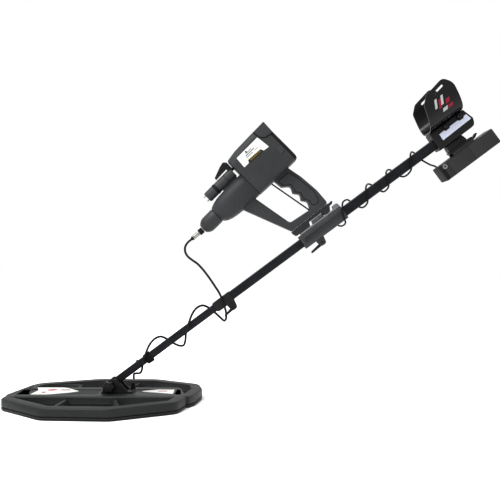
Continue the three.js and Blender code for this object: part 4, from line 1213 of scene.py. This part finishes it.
@dataclass
class Battery:
    """The battery, its rail and its pedestal."""

    socket: Point = (869.0, -51.0)
    half: float = 28.0

    def build(self) -> None:
        """Finishes the battery and its mount, and turns the charging socket."""
        dress("battery_pedestal", BLACK_ABS, 0.6)
        dress("battery_rail", BLACK_ABS, 0.4)
        dress("battery_release_lever", BLACK_ABS, 0.6)
        dress("battery_case", BATTERY_ABS, 0.6)
        dress("battery_cap", RUBBER, 0.8)
        dress("battery_cells", CELL_WRAP)
        x, z = self.socket
        across = SHAFT_FRAME @ Matrix.Translation((x, -self.half, z)) @ Matrix.Rotation(math.pi / 2, 4, "Z")
        profile = [(7, 1.9), (7, 3.2), (-0.3, 3.2), (-0.3, 5.4), (-0.9, 5.4), (-1.2, 5.0), (-1.2, 3.4),
                   (-0.7, 3.0), (-0.7, 1.9)]
        socket = turned("charging_socket_ring", profile, across, 40, hollow=True)
        finish_piece(socket, BLASTED_ALUMINIUM, "battery_pack", ("charging_socket",))


# ------------------------------------------------------------------ control unit
@dataclass
class ControlUnit:
    """Casing, nose, side socket and head. Millimetres along the unit's axis and above it."""

    corner_steps: int = 10
    nose_height: float = 3.5
    socket_height: float = RING_PLACE.z
    key_row: tuple[float, ...] = (-22, -7.5, 7.5, 22)
    key_height: float = -4
    side_start: Point = (148.5, -38.0)  # the head's flat side, from above: (along, y)
    side_end: Point = (230.0, -42.0)

    def ring(self, x: float, half: float, low: float, high: float, radius: float) -> list[Place]:
        """Draws a rounded rectangle round the axis.

        Args:
            x: where it is along the axis.
            half: half its width.
            low: its lower edge.
            high: its upper edge.
            radius: its corner radius.

        Returns:
            The ring's points.
        """
        points = []
        for corner, (side, up) in enumerate(((1, 1), (-1, 1), (-1, -1), (1, -1))):
            for i in range(self.corner_steps):
                turn = math.pi / 2 * (corner + i / (self.corner_steps - 1))
                y = side * (half - radius) + radius * math.cos(turn)
                z = (high - radius if up > 0 else low + radius) + radius * math.sin(turn)
                points.append((x, y, z))
        return points

    def casing(self) -> None:
        """Lofts the casing from its neck through the round body to the square head."""
        stations = [
            (48.3, 17.2, -13.8, 20.8, 16.8), (49.0, 18, -14.5, 21.6, 17.6), (53, 21.4, -18.4, 24.0, 20.5),
            (58, 24, -21.8, 26, 22), (68, 27.4, -25.4, 28.6, 24), (78, 29.5, -27.6, 30, 26),
            (98, 31, -30, 31, 26), (146.4, 31, -31, 31, 26), (147.6, 37.4, -31.2, 69.6, 24),
            (149.4, 38.04, -31.4, 70.4, 24), (173, 39.2, -32.4, 73.4, 20), (205, 40.8, -32.8, 73.8, 17),
            (230, 42, -33, 74, 16), (251.4, 42, -33, 74, 14), (252, 41.4, -32.4, 73.4, 13.6),
        ]
        casing = skin("control_unit_casing", [self.ring(*station) for station in stations], UNIT_FRAME)
        soften(casing, 1.6, 3, 46)
        finish_piece(casing, MOULDED_ABS, "control_unit", ("console_casing",))

    def head_side(self, side: Side) -> Matrix:
        """Finds the plane of the head's flat side.

        Args:
            side: near or far.

        Returns:
            From a drawing in (along, z), with its thickness outwards, to the row frame.
        """
        (x0, y0), (x1, y1) = self.side_start, self.side_end
        way = Vector((x1 - x0, y1 - y0, 0)).normalized()
        up = Vector((0, 0, 1))
        plane = Matrix((way, up, way.cross(up))).transposed().to_4x4()
        placed = Matrix.Translation((x0, y0, 0)) @ plane @ Matrix.Translation((-x0, 0, 0))
        if side is Side.FAR:
            placed = Matrix.Scale(-1, 4, (0, 1, 0)) @ placed
        return UNIT_FRAME @ placed

    def label(self) -> None:
        """Lays the printed label on the near side, with generic lines and a foil badge."""
        near = self.head_side(Side.NEAR)
        outline = rounded([(162, 32, 1.5), (176, 32, 1), (179, 37.6, 1), (214, 35, 1), (217, 28, 1),
                           (231, 26, 1.5), (227, 58, 1.5), (164, 58, 1.5)])
        label = plate("unit_label", [outline], -0.1, 0.4, 0.12, near, 1)
        finish_piece(label, LABEL, "control_unit")
        outline = rounded([(177.6, 31, 2), (215.6, 28.6, 2), (213.4, 34.6, 2), (180, 37, 2)])
        badge = plate("unit_badge", [outline], -0.1, 0.8, 0.2, near, 1)
        finish_piece(badge, POLISHED_PC, "control_unit")
        outline = rounded([(182, 32.4, 0.8), (212, 30.4, 0.8), (211, 33.6, 0.8), (183, 35.6, 0.8)])
        foil = plate("unit_badge_foil", [outline], 0.5, 0.95, 0.1, near, 1)
        finish_piece(foil, GOLD_FOIL, "control_unit")
        lines = [(184, 201, 50.0, 1.4), (181, 206, 46.2, 1.8), (180, 198, 42.4, 1.4), (203, 213, 42.0, 1.0)]
        for i, (x0, x1, z, height) in enumerate(lines):
            mark = plate(f"unit_print_{i + 1}", [rectangle(x0, x1, z, z + height)], 0.2, 0.48, 0.04, near, 0)
            finish_piece(mark, GREY_INK, "control_unit")
        dot = plate("unit_print_dot", [disc(188, 53.5, 2.2)], 0.2, 0.48, 0.04, near, 0)
        finish_piece(dot, GREY_INK, "control_unit")

    def guards(self) -> None:
        """Adds the corner guards, each on a dark rubber rim that paints the shade of the groove round it, and
        the vent plugs on the head's sides.
        """
        guard = rounded([(229.6, 72, 2), (229.6, 66, 2), (232, 54, 5), (240, 46, 4), (253, 43.6, 1),
                         (258.6, 43.6, 1), (260, 72.6, 2)])
        groove = rounded([(227.6, 72, 2), (227.6, 65.6, 2), (230.2, 52.6, 5), (239, 44.2, 4), (253, 41.8, 1),
                          (258.4, 41.8, 1), (259.6, 72.4, 2)])
        plug = rounded([(236, -3, 2.5), (249.5, -3, 2.5), (250.5, 15, 2.5), (238, 13, 2.5)])
        for side in Side:
            name = side.name.lower()
            plane = self.head_side(side)
            # A dark strip just proud of the side: painted shade of the groove round the guard.
            rim = plate(f"corner_guard_rim_{name}", [groove], -6, 0.35, 0.2, plane)
            finish_piece(rim, RUBBER, "control_unit")
            for piece in (plate(f"corner_guard_{name}", [guard], -6, 1.2, 0.9, plane),
                          plate(f"vent_plug_{name}", [plug], -4, 0.5, 0.3, plane)):
                finish_piece(piece, MOULDED_ABS, "control_unit")

    def nose(self) -> None:
        """Turns the nose cone, its seam and the lead's plug with its screw ring."""
        axis = UNIT_FRAME @ Matrix.Translation((0, 0, self.nose_height))
        profile = [(5, 5.4), (5, 8.8), (5.4, 9.6), (8, 12.6), (12, 15.3), (16, 17.1), (20, 18), (46, 18.2),
                   (46.8, 17.9), (47.2, 17.2), (47.2, 5.4)]
        nose = turned("nose", profile, axis, 56, hollow=True)
        finish_piece(nose, MOULDED_ABS, "control_unit", ("nose_cone",))
        collar = turned("nose_seam", [(44, 0), (44, 16.6), (52, 16.6), (52, 0)], axis)
        finish_piece(collar, RUBBER, "control_unit")
        plug = [(-25, 0), (-25, 4.2), (-24.4, 4.8), (-22.8, 4.9), (-22.4, 4.5), (-21.6, 4.5), (-21.2, 4.9),
                (-12, 5.0), (-11.6, 4.6), (-10.6, 4.6), (-10.2, 5.0), (6.4, 5.0), (6.4, 0)]
        finish_piece(turned("lead_plug", plug, PLUG_FRAME), NICKEL, "control_unit", ("coil_plug",))
        boot = [(-30.2, 0), (-30.2, 3.1), (-29.4, 3.5), (-26.4, 4.5), (-25.4, 4.6), (-24.8, 4.3), (-24.8, 0)]
        finish_piece(turned("lead_plug_boot", boot, PLUG_FRAME), RUBBER, "control_unit")
        self.knurled_ring("plug_screw_ring", -8, 2.6, 6.8, 5.3, 28, PLUG_FRAME, ("plug_ring", "plug_ring"))

    def knurled_ring(self, name: str, start: float, end: float, radius: float, bore: float, ribs: int,
                     axis: Matrix, owner: tuple[str, str]) -> None:
        """Makes a ring with ribs for the fingers round it.

        Args:
            name: the piece's name.
            start: where it starts along its axis.
            end: where it ends.
            radius: its outer radius.
            bore: its inner radius.
            ribs: how many ribs it has.
            axis: its axis frame.
            owner: its body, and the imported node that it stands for.
        """
        count = ribs * 4
        turns = [2 * math.pi * i / count for i in range(count)]
        ribbed = [radius - (0.35 if i % 4 < 2 else 0.0) for i in range(count)]
        rings = []
        for x, cut in ((start, 0.8), (start + 0.8, 0.0), (end - 0.8, 0.0), (end, 0.8)):
            rings.append([(x, (r - cut) * math.cos(t), (r - cut) * math.sin(t))
                          for r, t in zip(ribbed, turns)])
        for x in (end, start):
            rings.append([(x, bore * math.cos(t), bore * math.sin(t)) for t in turns])
        body, node = owner
        finish_piece(skin(name, rings, axis, closed_way=True), RUBBER, body, (node,))

    def side_socket(self) -> None:
        """Turns the side socket with its saddle, contact pins, screw ring and clip."""
        axis = UNIT_FRAME @ Matrix.Translation((0, 0, self.socket_height))
        profile = [(61.5, 0), (61.5, 8.6), (60.4, 9.2), (60, 9.9), (60.5, 10.5), (63, 11.6), (64, 11.8),
                   (83.6, 11.8), (84, 11.4), (84, 10.6), (91, 10.6), (91, 11.4), (91.4, 11.8), (118, 11.8),
                   (118.4, 11.3), (119.6, 11.3), (120, 11.8), (139.4, 11.8), (140, 11.2), (140, 0)]
        barrel = turned("side_socket", profile, axis)
        finish_piece(barrel, MOULDED_ABS, "control_unit", ("socket_barrel",))
        saddle = side_plate("side_socket_saddle", [rectangle(96, 138, 29, 40, 2)], -5, 5, 0.8, UNIT_FRAME)
        finish_piece(saddle, MOULDED_ABS, "control_unit")
        post = side_plate("side_socket_post", [rectangle(134, 149, 48, 54, 1)], -4, 4, 0.6, UNIT_FRAME)
        finish_piece(post, BLACK_ABS, "control_unit")
        lug = rounded([(133.5, 50, 1), (144.5, 50, 1), (143.5, 70, 3), (134.5, 70, 3)])
        for side in Side:
            low, high = side.span(7.3, 9.4)
            name = f"clip_lug_{side.name.lower()}"
            piece = side_plate(name, [lug, disc(139, 66, 2.1)], low, high, 0.4, UNIT_FRAME)
            finish_piece(piece, BLACK_ABS, "control_unit")
        for i, (y, z) in enumerate(((-4, -5), (4, -5), (0, 6))):
            pin = turned(f"socket_pin_{i + 1}", [(54.5, 0), (54.6, 0.8), (55.2, 1.3), (66, 1.3), (66, 0)],
                         axis @ Matrix.Translation((0, y, z)), 20)
            finish_piece(pin, NICKEL, "control_unit")
        owner = ("socket_ring", "socket_ring")
        self.knurled_ring("socket_screw_ring", 84.3, 90.7, 12.4, 10.9, 30, axis, owner)
        dress("clip_lever", BLACK_ABS, 0.6)

    def head(self) -> None:
        """Finishes the bezel, keys, display and board."""
        dress("head_bezel", RUBBER, 0.8)
        dress("screen_lens", LensGlass(), 0.3)
        dress("lcd_panel", DISPLAY)
        dress("main_board", CIRCUIT)
        profile = [(248.6, 0), (248.6, 6.6), (250.2, 6.6), (250.2, 5), (258.9, 5), (259.7, 4.7), (260.2, 4),
                   (260.0, 2), (259.9, 0)]
        for number, y in enumerate(self.key_row, start=1):
            key = f"key_{number}"
            axis = UNIT_FRAME @ Matrix.Translation((0, y, self.key_height))
            finish_piece(turned(f"{key}_cap", profile, axis, 32), RUBBER, key, (key,))

    def build(self) -> None:
        """Builds the control unit."""
        self.casing()
        self.label()
        self.guards()
        self.nose()
        self.side_socket()
        self.head()


# ------------------------------------------------------------------ handle
@dataclass
class Handle:
    """The D-handle in two halves, its grip panels, rod, foot and latch. Millimetres in the unit's axes."""

    half: float = 15.0
    gap: float = 0.3
    groove: float = 1.5
    rod_radius: float = 1.6

    def outline(self) -> list[Point]:
        """Draws the handle's outside."""
        return rounded([(90, 6), (97, -29.5), (138.6, -138, 5), (237.8, -149.6, 7), (240.6, -112, 60),
                        (237, -67, 60), (231, -36, 20), (229, 6)])

    def window(self) -> list[Point]:
        """Draws the window with its finger scallops."""
        return rounded([(128, -16), (133, -31), (149, -121.5, 8), (198.6, -131.5, 3), (203.6, -127, 2),
                        (208.6, -116, 7), (200.6, -104.4, 1), (208.4, -93, 7), (199, -80.6, 1),
                        (206.2, -66, 8), (191, -53.4, 1), (187.4, -16)])

    def panel(self) -> list[tuple]:
        """Draws the grip panel, which follows the scallops."""
        return [(194, -40, 3), (199, -56, 3), (211, -62, 6), (206, -82, 4), (213, -92, 6), (208.5, -105, 4),
                (214, -118, 6), (211, -129, 4), (226, -134, 8), (233.5, -110, 30), (229.5, -66, 30),
                (224, -42, 6)]

    def halves(self) -> None:
        """Makes the two moulded halves, which meet at a fine seam."""
        for side in Side:
            name = f"handle_{side.name.lower()}_half"
            drawing = [self.outline(), self.window()]
            whole = side_plate(name + "_shell", drawing, -self.half, self.half, 2.2, UNIT_FRAME)
            low, high = side.span(self.gap / 2, 40)
            block = side_plate("half_block", [rectangle(60, 280, -200, 20)], low, high, 0, UNIT_FRAME)
            cut_away(whole, block, "INTERSECT")
            finish_piece(whole, MOULDED_ABS, "control_unit", (name,))

    def panels(self) -> None:
        """Sets a grip panel into each side, with a dark rubber strip round it that paints the groove's shade.
        """
        for side in Side:
            name = side.name.lower()
            low, high = side.span(self.half - 0.9, self.half + 0.8)
            piece = side_plate(f"grip_pad_{name}", [rounded(self.panel())], low, high, 0.7, UNIT_FRAME)
            finish_piece(piece, MOULDED_ABS, "control_unit", (f"grip_panel_{name}",))
            # A dark strip round the panel: painted shade of the groove.
            groove = rounded(inset(self.panel(), -self.groove))
            low, high = side.span(self.half - 0.6, self.half + 0.25)
            rim = side_plate(f"grip_groove_{name}", [groove], low, high, 0.15, UNIT_FRAME)
            finish_piece(rim, RUBBER, "control_unit")

    def rod(self) -> None:
        """Draws the steel rod across the window."""
        top, foot = Vector((181.6, 0, -33.2)), Vector((200.6, 0, -138.5))
        rings = cord_rings([top, (top + foot) / 2, foot], self.rod_radius, 20)
        rod = skin("window_rod", rings, UNIT_FRAME)
        finish_piece(rod, BLACK_ABS, "control_unit", ("guard_rod",))

    def build(self) -> None:
        """Builds the handle."""
        self.halves()
        self.panels()
        self.rod()
        dress("handle_foot", BATTERY_ABS, 0.7)
        dress("latch_lever", BATTERY_ABS, 0.6)
        dress("cord_gland", RUBBER, 0.4)


def main() -> None:
    """Builds the detector's surfaces, camera and leads first."""
    logging.basicConfig(level=logging.INFO, format="%(message)s")
    for part in (Studio(), Leads(), SearchCoil(), Shaft(), ArmRest(), Battery(), ControlUnit(), Handle()):
        LOG.info("building %s", type(part).__name__)
        part.build()


if __name__ == "__main__":
    main()
